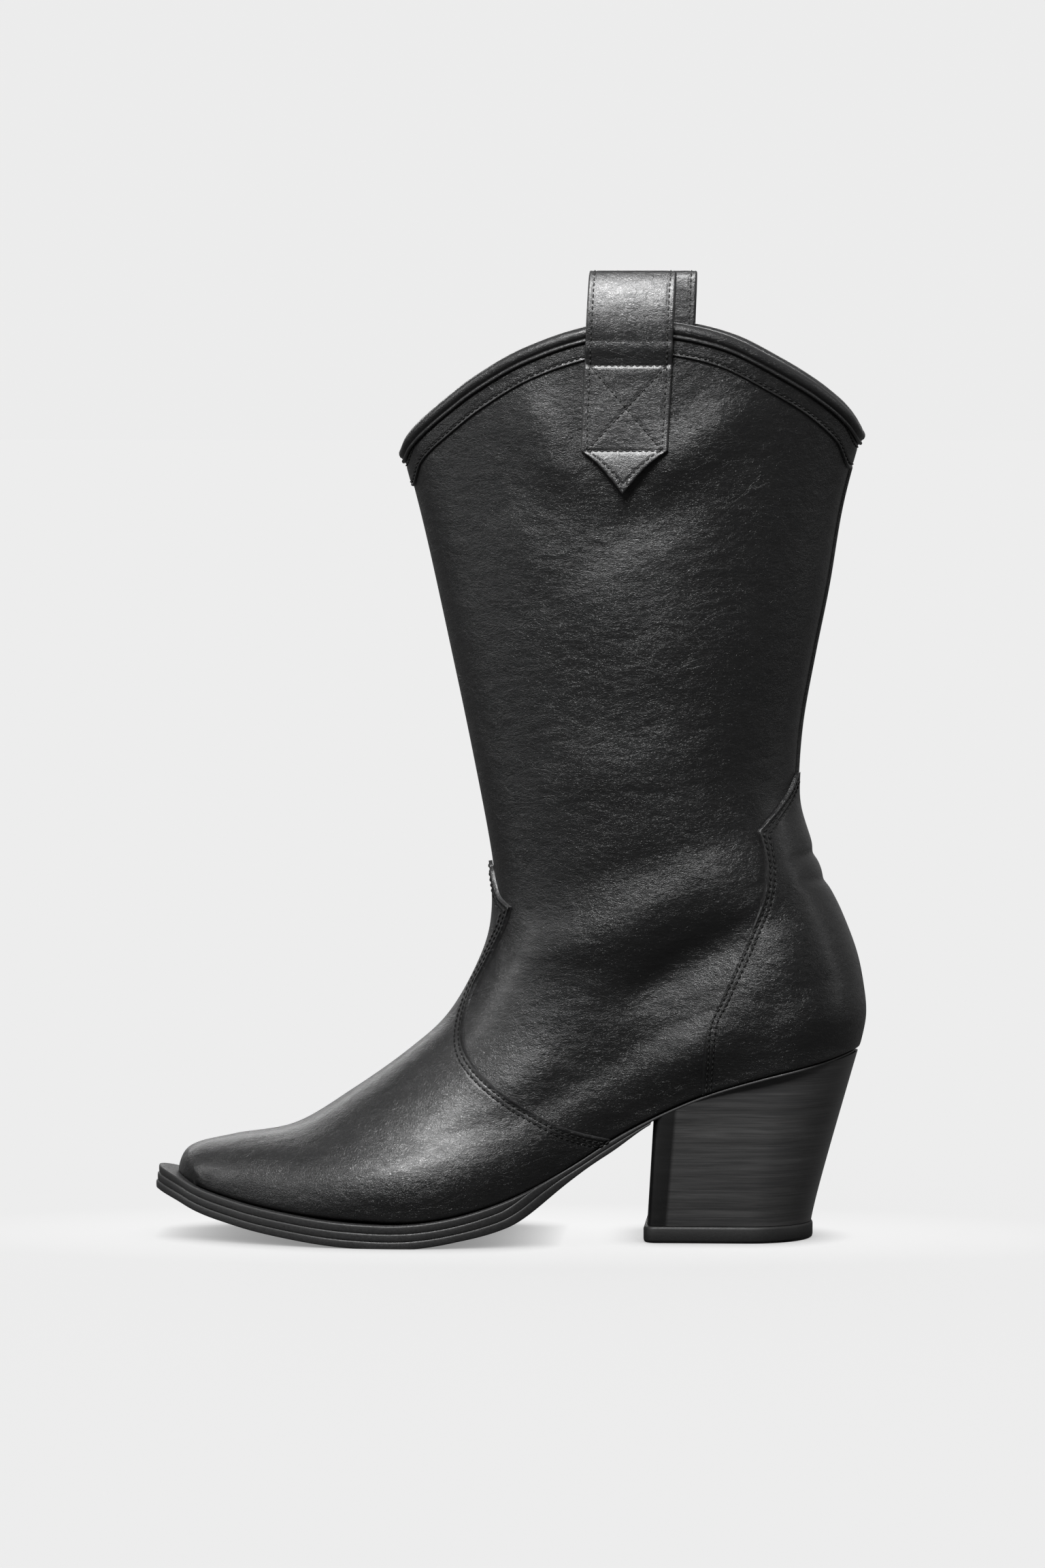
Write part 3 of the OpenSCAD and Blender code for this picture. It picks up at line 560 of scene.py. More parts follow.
def make_round(name, slot, node, at, front, rows, layer, cols, **more):
    """A piece round the front or the back, from its edge on one side to the same edge on the other."""
    left, right = (at, lambda v: 2 - at(v)) if front else (lambda v: -at(v), at)
    return settle(skin_piece(name, rows, left, right, layer, cols, **more), slot, node)


def make_side(name, slot, node, side, back, front, layer, rows, cols, **more):
    """A piece of one side of the shaft, from the sole up under the binding."""
    if side == MEDIAL:
        back, front = (lambda v, at=front: 2 - at(v)), (lambda v, at=back: 2 - at(v))
    v = np.linspace(0, below_topline(BINDING_H - 0.2), rows)
    obj = skin_piece(name + SIDE_NAME[side], v, back, front, layer, cols, **more)
    return settle(obj, slot, node + SIDE_NAME[side])


def make_vamp_and_counter():
    make_round("vamp_leather", "black_leather", "vamp", vamp_at, True, edge_rows(VAMP_EDGE, vamp_end, 190),
               OUTER, 170, cut_runs=VAMP_EDGE)
    make_round("heel_counter_leather", "black_leather", "heel_counter_cover", counter_at, False,
               edge_rows(COUNTER_EDGE, counter_end, 150), OUTER, 120, cut_runs=COUNTER_EDGE)


SEAM_GROOVE, SEAM_HALF, MM_PER_P = 0.5, 1.3, 55


def seam_groove(p):
    """The two shaft panels dip towards the seam that closes them, in front and at the back."""
    around = np.minimum(abs(p), np.minimum(abs(p - 1), abs(p - 2)))
    return -SEAM_GROOVE * np.exp(-(around * MM_PER_P / SEAM_HALF) ** 2)


def make_shaft(side):
    make_side("shaft_leather_", "black_leather", "shaft_panel_", side,
              lambda v: shaft_back_at(v) if v < BACK_CUT_END else 0.0,
              lambda v: shaft_front_at(v) if v < FRONT_CUT_END else 1.0, MID, 270, 140, profile=seam_groove)


def make_lining(side):
    make_side("shaft_lining_cloth_", "lining", "shaft_lining_", side, lambda v: 0.0,
              lambda v: lining_front_at(v) if v < LINING_CUT_END else 1.0, LINING, 130, 70, fine_ends=False)


def make_hidden_layers():
    """Vamp lining, toe puff and heel counter, under the upper."""
    make_round("vamp_lining_cloth", "lining", "vamp_lining", edge_at(VAMP_LINING_EDGE)[0], True,
               np.linspace(0, VAMP_LINING_END, 80), LINING, 80, fine_ends=False)
    make_round("toe_puff_board", "fibre_board", "toe_puff", edge_at(PUFF_EDGE)[0], True,
               np.linspace(0.004, PUFF_END, 40), STIFFENER, 60, fine_ends=False)
    make_round("counter_stiffener_board", "fibre_board", "counter_stiffener", edge_at(STIFFENER_EDGE)[0],
               False, np.linspace(0.004, CUP_END, 60), STIFFENER, 60, fine_ends=False)


BAND_STITCH = (1.6,)
BAND_T, BINDING_STITCH = 0.6, 5.4


def make_band(side):
    """Facing band: its lower edge is cut and stitched, its upper edge goes under the binding."""
    height = BAND_H - BINDING_H
    up = np.concatenate([np.linspace(0, 3, 16), np.linspace(3, height + 0.4, 14)[1:]])
    v = (below_topline(BAND_H) + up / DROP_SCALE)[:, None]
    p = np.linspace(0, 1, 200)[None, :] + (0 if side == LATERAL else 1)
    v, p = np.broadcast_arrays(v, p)
    rise = np.broadcast_to(up[:, None], p.shape)
    top = OUTER[0] + cut_edge(rise, BAND_T) + stitch_dip(rise, BAND_STITCH)
    top = top - STITCH_DIP * np.exp(-((rise - height + BINDING_STITCH - BINDING_H) / 0.45) ** 2)
    top[0] = OUTER[0] - 0.1
    obj = shell_object("top_band_leather_" + SIDE_NAME[side], skin.at(p, v, top), skin.at(p, v))
    settle(obj, "black_leather", "top_band_" + SIDE_NAME[side])


# The bead's section, as (out of the skin, above the topline), with a lip ledge under the bead
BINDING_SECTION = [(0.9, -4.4), (1.45, -4.35), (1.75, -4.0), (1.78, -3.55), (1.5, -3.2), (1.2, -2.95),
                   (1.45, -2.6), (1.95, -2.0), (2.1, -1.2), (1.95, -0.4), (1.4, 0.4), (0.5, 1.0),
                   (-0.7, 1.25), (-1.9, 1.1), (-2.8, 0.5), (-3.35, -0.4), (-3.5, -1.5), (-3.4, -2.6),
                   (-3.0, -3.3), (-2.3, -3.4), (-2.2, -1.4), (0.6, -1.4)]


def make_binding():
    """Rolled leather edge over the topline, one closed bead."""
    p = np.linspace(0, 2, 441)[:-1]
    v = np.full(len(p), below_topline(1.2))
    base, out = skin.at(p, v), skin.out(p, v)
    up = unit(base - skin.at(p, v - 0.02))
    ripple = 0.10 * np.sin(p * 61) + 0.07 * np.sin(p * 113 + 1)
    swell = 1 + 0.06 * ripple
    rings = [base + out * (n * swell)[:, None] + up * (h + 0.3 * ripple)[:, None] for n, h in BINDING_SECTION]
    settle(tube_object("topline_binding_leather", np.stack(rings, 1)), "black_leather", "topline_binding")


TAPE_HALF, TAPE_RISE, TAPE_MM_PER_P = 1.9, 1.35, 60


def make_tape():
    """Raised piping that covers the back seam, from the counter's peak to the facing band."""
    v = np.linspace(TAPE_START, below_topline(BAND_H - 0.5), 170)[:, None]
    w = np.linspace(-1, 1, 13)[None, :]
    v, w = np.broadcast_arrays(v, w)
    p = w * TAPE_HALF / TAPE_MM_PER_P
    high = MID[1] - 0.4 + TAPE_RISE * np.sqrt(np.clip(1 - w ** 2, 0, 1))
    low = np.full(p.shape, MID[1] - 0.55)
    obj = shell_object("back_seam_piping", skin.at(p, v, high), skin.at(p, v, low))
    settle(obj, "black_leather", "back_seam_tape")


# ------------------------------------------------------------------ stitching
STITCH_LENGTH, STITCH_PITCH, STITCH_R = 1.75, 2.15, 0.27


def stitch_template(rings=5, k=6):
    """One stitch: a short round thread that dips into the leather at both ends. Axes: along, across, up."""
    verts = []
    for t in np.linspace(-1, 1, rings):
        r = STITCH_R * math.sqrt(max(0.04, 1 - 0.9 * t ** 4))
        arch = 0.16 * (1 - 1.9 * t * t)
        for angle in 2 * math.pi * np.arange(k) / k:
            verts.append((t * STITCH_LENGTH / 2, r * math.cos(angle), r * math.sin(angle) + arch))
    return np.array(verts), [tuple(f) for f in grid_faces(rings, k, closed=True)] + end_caps(rings, k)


def stitches_along(path, normals):
    """Centres, directions and normals of the stitches along a dense path."""
    s = lengths(path)
    count = int(s[-1] // STITCH_PITCH)
    if count < 1:
        return np.zeros((0, 3)), np.zeros((0, 3)), np.zeros((0, 3))
    at = (np.arange(count) + 0.5) * s[-1] / count
    ahead = read_line(at + 0.6, s, path) - read_line(at - 0.6, s, path)
    return read_line(at, s, path), unit(ahead), unit(read_line(at, s, normals))


def stitch_object(name, runs):
    """All the stitches of some (path, normals) runs, as one object."""
    template, faces = stitch_template()
    verts, all_faces = [], []
    for path, normals in runs:
        centre, along, up = stitches_along(path, normals)
        for c, t, n in zip(centre, along, up):
            b = unit(np.cross(n, t))
            base = len(verts) * len(template)
            verts.append(c + template[:, :1] * t + template[:, 1:2] * b + template[:, 2:] * n)
            all_faces += [tuple(base + q for q in f) for f in faces]
    return make_object(name, np.vstack(verts), all_faces)


def inset_path(runs, side, dist, height):
    """Lines at a distance in from a cut edge, without the parts that come nearer to the edge."""
    line = run_points(runs, 60)
    p, v = skin.find(line, side)
    edge, out = skin.at(p, v), skin.out(p, v)
    inward = unit(np.cross(out, unit(np.gradient(edge, axis=0))))
    towards = -1 if runs is VAMP_EDGE else 1
    moved = edge + inward * (dist * towards * np.sign(inward[:, 0].mean()))
    q, w = skin.find(moved[:, [0, 2]], side)
    snapped = skin.at(q, w, np.full(len(q), height))
    path = np.where((abs(moved[:, 1]) > 5)[:, None], snapped, moved + out * height)
    keep = (nearest(moved, edge)[0] > dist - 0.12) & (moved[:, 1] * side > 0.2)
    return split_runs(path, out, keep)


def split_runs(path, out, keep):
    """The stretches of a path where keep is true."""
    runs, start = [], None
    for i, ok in enumerate(list(keep) + [False]):
        if ok and start is None:
            start = i
        if not ok and start is not None:
            if i - start > 3:
                runs.append((path[start:i], out[start:i]))
            start = None
    return runs


def overlay_stitches(name, runs):
    found = []
    for side in (LATERAL, MEDIAL):
        for dist in STITCH_ROWS:
            found += inset_path(runs, side, dist, OUTER[1] - 0.1)
    settle(stitch_object(name, found), "black_leather")


def band_stitches():
    found = []
    p = np.linspace(0, 2, 500)
    for drop in (BAND_H - BAND_STITCH[0], BINDING_STITCH):
        v = np.full(len(p), below_topline(drop))
        found.append((skin.at(p, v, np.full(len(p), OUTER[0] + BAND_T - 0.14)), skin.out(p, v)))
    settle(stitch_object("top_band_stitching", found), "black_leather")


# ------------------------------------------------------------------ pull straps
STRAP_W, STRAP_T, STRAP_TIP, TIP_COS = 30.5, 1.5, 14.8, 0.74
STRAP_Z0, STRAP_LEAN = 279.5, 0.045
STRAP_X0 = {LATERAL: 42.3, MEDIAL: 47.2}
SKIN_END, STRAP_INNER_END = 318.0, 284.0
BOX_TOP, STRAP_ROW, STRAP_ROUND = 309.3, 2.0, 0.8
# The free loop: how far out of the skin, and how far over SKIN_END, its middle surface runs
LOOP_PATH = [(3.15, 0), (3.7, 2.5), (4.05, 5), (4.05, 8), (3.65, 11.5), (2.7, 15), (1.35, 18.5), (-0.4, 21.6),
             (-2.2, 23.4), (-3.7, 23.5), (-4.9, 21.9), (-5.5, 18.5), (-5.6, 14), (-5.5, 9), (-5.0, 4.5),
             (-4.6, 1.8), (-4.2, 0)]
LIFT_FROM, LIFT_RUN, LIFT = 308.9, 8.0, 2.4
TABLE_X, TABLE_Z = (20, 76), (260, 322)
UP_STEPS, LOOP_STEPS, DOWN_STEPS = 150, 118, 50


class Strap:
    """A folded ribbon, up the outside, over in a loop and down the lining. s runs along it from the tip."""

    def __init__(self, side):
        self.side = side
        z_up = np.linspace(STRAP_Z0 - STRAP_TIP, SKIN_END, UP_STEPS)
        loop = curve(LOOP_PATH, np.linspace(0, 1, LOOP_STEPS + 2))[1:-1]
        z_down = np.linspace(SKIN_END, STRAP_INNER_END, DOWN_STEPS)
        lift = LIFT * ease((z_up - LIFT_FROM) / LIFT_RUN) + STRAP_T / 2
        sewn = LINING[0] - 0.1 - STRAP_T / 2
        self.z = np.concatenate([z_up, SKIN_END + loop[:, 1], z_down])
        inner = lerp(sewn, LOOP_PATH[-1][0], ease((z_down - SKIN_END + 6) / 6))
        self.n = np.concatenate([lift, loop[:, 0], inner])
        self.bow = np.concatenate([np.ones(UP_STEPS), 1 - ease(loop[:, 1] / 20), np.ones(DOWN_STEPS)])
        self.s = lengths(np.stack([self.z, self.n], 1))
        self.length = self.s[-1]
        self.s_down = self.s[-DOWN_STEPS]
        grid_x, grid_z = np.arange(*TABLE_X, 1.0), np.arange(*TABLE_Z, 1.0)
        flat = np.stack(np.meshgrid(grid_x, grid_z), -1).reshape(-1, 2)
        self.table = (half_width(flat, side) + fold_height(flat)).reshape(len(grid_z), len(grid_x))
        axis = STRAP_X0[side] + (SKIN_END - STRAP_Z0) * STRAP_LEAN
        self.flat_y = float(self.width(np.array([axis]), np.array([SKIN_END]))[0]) - 0.5

    def width(self, x, z):
        """The skin's half width under the strap, from a table."""
        rows, cols = self.table.shape
        q, r = np.clip(x - TABLE_X[0], 0, cols - 1.01), np.clip(z - TABLE_Z[0], 0, rows - 1.01)
        i, j = q.astype(int), r.astype(int)
        f, g = q - i, r - j
        low = lerp(self.table[j, i], self.table[j, i + 1], f)
        return lerp(low, lerp(self.table[j + 1, i], self.table[j + 1, i + 1], f), g)

    def half(self, s):
        """Half width: the tip's sides are slightly hollow, and the rest is straight."""
        t = np.clip(s / STRAP_TIP, 0, 1)
        return STRAP_W / 2 * t * (0.77 + 0.23 * t ** 2.2)

    def mid(self, a, s):
        """Middle-surface point at a mm across and s mm along, for arrays of one shape."""
        z, n, bow = (np.interp(s, self.s, q) for q in (self.z, self.n, self.bow))
        x = STRAP_X0[self.side] + (z - STRAP_Z0) * STRAP_LEAN + a
        z_low, h = np.minimum(z, SKIN_END), 0.5
        wide = self.width(x, z_low)
        slope_x = (self.width(x + h, z_low) - self.width(x - h, z_low)) / (2 * h)
        slope_z = (self.width(x, z_low + h) - self.width(x, z_low - h)) / (2 * h)
        out = unit(np.stack([-slope_x, np.full_like(x, self.side), -slope_z], -1))
        on_skin = np.stack([x, self.side * wide, z_low], -1) + out * n[..., None]
        y = lerp(self.flat_y, wide, bow) + n
        free = np.stack([x, self.side * y, z], -1)
        gate = ease((z - SKIN_END + 5) / 5)[..., None]
        return lerp(on_skin, free, gate)

    def at(self, a, s, d):
        """Point a mm across and s mm along, moved d off the middle surface."""
        h = 0.05
        ds = self.mid(a, s + h) - self.mid(a, s - h)
        da = self.mid(a + h, s) - self.mid(a - h, s)
        n = unit(np.cross(ds, da)) * self.side
        start = n[len(n) // 8, n.shape[1] // 2] if n.ndim == 3 else n[0]
        return self.mid(a, s) + n * (np.asarray(d) * np.sign(start[1] * self.side))[..., None]


def strap_marks(strap, a, s):
    """How deep the sewn lines pull the strap in."""
    half = strap.half(s)
    edge = (half - abs(a)) * np.where(s < STRAP_TIP, TIP_COS, 1)
    dip = 0.24 * np.exp(-((edge - STRAP_ROW) / 0.5) ** 2)
    low, high = STRAP_TIP, STRAP_TIP + BOX_TOP - STRAP_Z0
    inside = (s > low - 1) & (s < high + 1)
    reach = STRAP_W / 2 - STRAP_ROW
    slope = 2 * reach / (high - low)
    for sign in (1, -1):
        off = abs(a - sign * (slope * (s - low) - reach)) / math.hypot(1, slope)
        dip = dip + np.where(inside, 0.20 * np.exp(-(off / 0.5) ** 2), 0)
    for line in (low, high):
        dip = dip + 0.26 * np.exp(-((s - line) / 0.5) ** 2) * (abs(a) < reach + 0.4)
    return dip, edge


def strap_puff(s):
    """How far the leather stands out under the box's top line and over the tip."""
    under_tip, under_box = np.maximum(0, STRAP_TIP - s), np.maximum(0, STRAP_TIP + BOX_TOP - STRAP_Z0 - s)
    return 2.7 * (1 - np.exp(-under_tip / 7.0)) + 0.62 * under_box * np.exp(-under_box / 1.9)


def make_strap(side):
    strap = Strap(side)
    name = SIDE_NAME[side]
    w = np.concatenate([-1 + np.linspace(0, 0.10, 9)[:-1] ** 1.3, np.linspace(-0.9, 0.9, 44),
                        1 - np.linspace(0.10, 0, 9)[1:] ** 1.3])
    s = np.concatenate([np.linspace(0.02, 64, 150), np.linspace(64, strap.s_down + 6, 110)[1:],
                        np.linspace(strap.s_down + 6, strap.length, 40)[1:]])
    s2, w2 = np.meshgrid(s, w, indexing="ij")
    a = w2 * strap.half(s2)
    dip, edge = strap_marks(strap, a, s2)
    round_edge, round_end = round_off(edge / STRAP_ROUND), round_off((strap.length - s2) / STRAP_ROUND)
    thick = STRAP_T / 2 * round_edge * round_end
    outer = strap.at(a, s2, thick - dip * round_edge + strap_puff(s2))
    obj = shell_object("pull_strap_" + name, outer, strap.at(a, s2, -thick))
    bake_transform(obj)
    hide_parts(name + "_strap_outer_tab", name + "_strap_inner_tab", name + "_strap_loop")
    thread = strap_stitches(strap, name)
    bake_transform(thread)


def strap_stitches(strap, name):
    low, high = STRAP_TIP, STRAP_TIP + BOX_TOP - STRAP_Z0
    reach = STRAP_W / 2 - STRAP_ROW
    lines = []
    tip = np.linspace(3.4, low, 40)
    up = np.linspace(low, strap.length - 3, 400)[1:]
    edge = strap.half(tip) - STRAP_ROW / TIP_COS * np.clip((tip - 2) / 3, 0, 1)
    edge = np.clip(np.concatenate([edge, np.full(len(up), reach)]), 0, reach)
    for sign in (1, -1):
        lines.append((sign * edge, np.concatenate([tip, up])))
        lines.append((sign * np.linspace(-reach, reach, 60), np.linspace(low, high, 60)))
    for level in (low, high):
        lines.append((np.linspace(-reach, reach, 50), np.full(50, level)))
    runs = []
    for a, s in lines:
        dip = strap_marks(strap, a, s)[0]
        top = strap.at(a, s, STRAP_T / 2 - dip + 0.02 + strap_puff(s))
        out = unit(top - strap.mid(a, s))
        runs.append((top, out))
    return stitch_object("pull_strap_stitching_" + name, runs)


# ------------------------------------------------------------------ sole
SOLE_T, WELT_OUT, WELT_END, WELT_TAPER = 2.75, 4.6, 13.0, 15.0
TOE_ROUND, HEEL_ROUND, BREAST_X, SOLE_STEP = 14.0, 27.0, 51.0, 1.45
NO_END = 400
TREAD_PITCH, TREAD_H, TREAD_X = 4.2, 0.5, (-98, -14)


def welt_depth(x):
    return SOLE_T * (1 - ease((x - WELT_END + WELT_TAPER) / WELT_TAPER))


def waist_mid(x):
    return lerp(1.9, 1.0, ease((x - 35) / 20))


def out_depth(x):
    """Thickness of the whole sole: even under the forepart, thinner through the waist."""
    waist = waist_mid(x) + lerp(2.2, 0.7, ease((x - 36) / 16))
    return lerp(3 * SOLE_T + 0.9 * bump((x - 2) / 20), waist, ease((x - 1) / 30))


def mid_depth(x):
    return welt_depth(x) + lerp((out_depth(x) - welt_depth(x)) / 2, waist_mid(x), ease((x - 5) / 25))


def edge_ext(x):
    return lerp(WELT_OUT, 0.6, ease((x - 2) / 22))


def plan_edge(side, grow, tip, end, x0, x1):
    """One side of a layer's outline in plan, from x0 to x1, with its outward directions."""
    x = lerp(x0, x1, (1 - np.cos(np.pi * np.linspace(0, 1, 510))) / 2)
    ends = round_off((x - tip) / TOE_ROUND) * round_off((end - x) / HEEL_ROUND)
    line = walk(np.stack([x, side * (foot_half[side](x) + edge_ext(x) + grow) * ends], 1), SOLE_STEP)
    t = np.gradient(line, axis=0)
    out = unit(np.stack([-t[:, 1], t[:, 0]], 1)) * side
    if x0 <= tip + 0.01:
        out[0] = (-1, 0)
    return line, out


def sole_layer(name, grow, tip, end, x0, x1, high, low, ridge, across=22, bottom=None):
    """Closed layer with a rounded moulded edge. ridge gives (share of its depth, how far out)."""
    (lat, lat_out), (med, med_out) = (plan_edge(s, grow, tip, end, x0, x1) for s in (LATERAL, MEDIAL))
    n = min(len(lat), len(med))

    def even(line):
        return read_line(np.linspace(0, 1, n), np.linspace(0, 1, len(line)), line)
    lat, lat_out, med, med_out = (even(line) for line in (lat, lat_out, med, med_out))
    t = np.linspace(0, 1, across + 2)[1:-1]
    rings = []
    for i in range(n):
        def edge(point, out):
            x = point[0]
            top, base = sole_z(x) - high(x), sole_z(x) - low(x)
            return [np.array([*(point + out * o), max(0.0, lerp(top, base, share))]) for share, o in ridge]
        left, right = edge(lat[i], lat_out[i]), edge(med[i], med_out[i])
        under = [lerp(left[-1], right[-1], q) for q in t]
        over = [lerp(right[0], left[0], q) for q in t]
        if bottom is not None:
            under = [bottom(p) for p in under]
        rings.append(left + under + right[::-1] + over)
    return tube_object(name, rings, closed=False)


RIDGE = [(0, -1.0), (0, -0.12), (0.06, 0.01), (0.2, 0.10), (0.5, 0.13), (0.8, 0.10), (0.94, 0.01), (1, -0.12),
         (1, -1.0)]


def tread(point):
    """Shallow grooves across the outsole's forepart, fading towards its edges."""
    x, y, z = point
    if not TREAD_X[0] < x < TREAD_X[1]:
        return point
    inside = min(1.0, max(0.0, (foot_half[LATERAL if y < 0 else MEDIAL](x) - abs(y)) / 6))
    return np.array([x, y, z + TREAD_H * max(0.0, math.cos(x * 2 * math.pi / TREAD_PITCH)) ** 6 * inside])


def make_sole():
    welt = sole_layer("welt_strip", 0.1, -125.0, NO_END, -125.0, WELT_END, lambda x: 0.0,
                      lambda x: np.maximum(0.3, welt_depth(x) - 0.05), RIDGE)
    mid = sole_layer("midsole_layer", 0.5, -125.5, 122.7, -125.5, 122.7, lambda x: welt_depth(x) + 0.05,
                     lambda x: mid_depth(x) - 0.05, RIDGE)
    out = sole_layer("outsole_layer", 0.9, -126.0, NO_END, -126.0, BREAST_X, lambda x: mid_depth(x) + 0.05,
                     out_depth, RIDGE, across=40, bottom=tread)
    for layer, node in ((welt, "welt"), (mid, "midsole"), (out, "outsole")):
        settle(layer, "sole_rubber", node)


# ------------------------------------------------------------------ heel
LIFT_T = 6.0
# The top lift's side, as (height, how far out of the heel's foot)
LIFT_SECTION = [(0, -0.6), (0, 0.55), (0.35, 1.05), (1.2, 1.25), (4.9, 1.25), (5.5, 1.05), (5.85, 0.6),
                (5.9, -0.6)]
HEEL_LEVELS = np.linspace(0, 1, 46)


def heel_outline(w, grow, corner=None, steps=64):
    """The heel's outline at a share w of its height, from the breast on the outer side round the back."""
    x0 = lerp(49.7, 52.0, w) - grow
    x1 = lerp(106.6, 123.0, w ** 1.15) + grow
    half, deep = lerp(23.5, 26.6, w) + grow, lerp(22, 26, w)
    corner = lerp(5, 10, w) if corner is None else corner
    x = lerp(x0, x1, np.sin(np.pi / 2 * np.linspace(0, 1, steps) ** 1.5))
    y = half * round_off((x1 - x) / deep) * lerp(0.80, 1, round_off((x - x0) / corner))
    return np.concatenate([np.stack([x, -y], 1), np.stack([x, y], 1)[-2::-1]])


def heel_top(x):
    return sole_z(x) - mid_depth(x) + 0.1


def heel_ring(w, grow):
    flat = heel_outline(w, grow)
    return np.column_stack([flat, lerp(LIFT_T, heel_top(flat[:, 0]), w)])


def column_object(name, rings):
    """Closed column: rings of points from the bottom up, first and last capped by a fan of quads."""
    rings = np.asarray(rings)
    levels, k = rings.shape[:2]
    faces = [tuple(f) for f in grid_faces(levels, k, closed=True)]
    half = k // 2
    for base in (0, (levels - 1) * k):
        faces += [(base + i, base + i + 1, base + k - 2 - i, base + k - 1 - i) for i in range(half)]
    return tidy_mesh(make_object(name, rings.reshape(-1, 3), faces), 45)


def make_heel():
    core = column_object("heel_core", [heel_ring(w, -0.05) for w in HEEL_LEVELS])
    settle(core, "heel_plastic", "heel_block")
    outer, inner = [], []
    for w in HEEL_LEVELS:
        ring_out, ring_in = heel_ring(w, 0.72), heel_ring(w, 0.0)
        ring_out[:, 0] = np.maximum(ring_out[:, 0], ring_in[0, 0] + 0.9)
        outer.append(ring_out)
        inner.append(ring_in)
    wrap = shell_object("heel_wrap_stack", np.array(outer), np.array(inner))
    settle(wrap, "heel_stack", "heel_wrap")
    lift_rings = []
    for z, grow in LIFT_SECTION:
        flat = heel_outline(0, grow, corner=4)
        lift_rings.append(np.column_stack([flat, np.full(len(flat), z)]))
    lift = column_object("rubber_top_lift", lift_rings)
    settle(lift, "lift_rubber", "top_lift")


# ------------------------------------------------------------------ inside
def heel_pad_t(x):
    return 2.6 * ease((x - 58) / 18) * (1 - 0.5 * ease((x - 100) / 18))


def make_inside():
    """Heel pad and sock liner: (how far over the sole line) low and high, both with soft edges."""
    def slab(name, inset, tip, end, x0, low, high):
        ridge = [(0, -1.0), (0, -0.3), (0.3, 0), (0.7, 0), (1, -0.3), (1, -1.0)]
        return sole_layer(name, -inset, tip, end, x0, end, lambda x: -high(x), lambda x: -low(x), ridge,
                          across=30)
    pad = slab("heel_pad_foam", 6.6, -NO_END, 117, 63, lambda x: 3.2, lambda x: 3.3 + heel_pad_t(x))
    settle(pad, "foam", "heel_pad")
    sock = slab("sock_liner_sheet", 5.0, -110, 118, -110, lambda x: 3.6 + heel_pad_t(x),
                lambda x: 4.7 + heel_pad_t(x))
    settle(sock, "sock", "sock_liner")


# ------------------------------------------------------------------ materials
def rgba(tone):
    """A grey or an RGB triple as a colour; a socket is left as it is."""
    if hasattr(tone, "is_linked"):
        return tone
    return (*tone, 1) if hasattr(tone, "__len__") else (tone, tone, tone, 1)


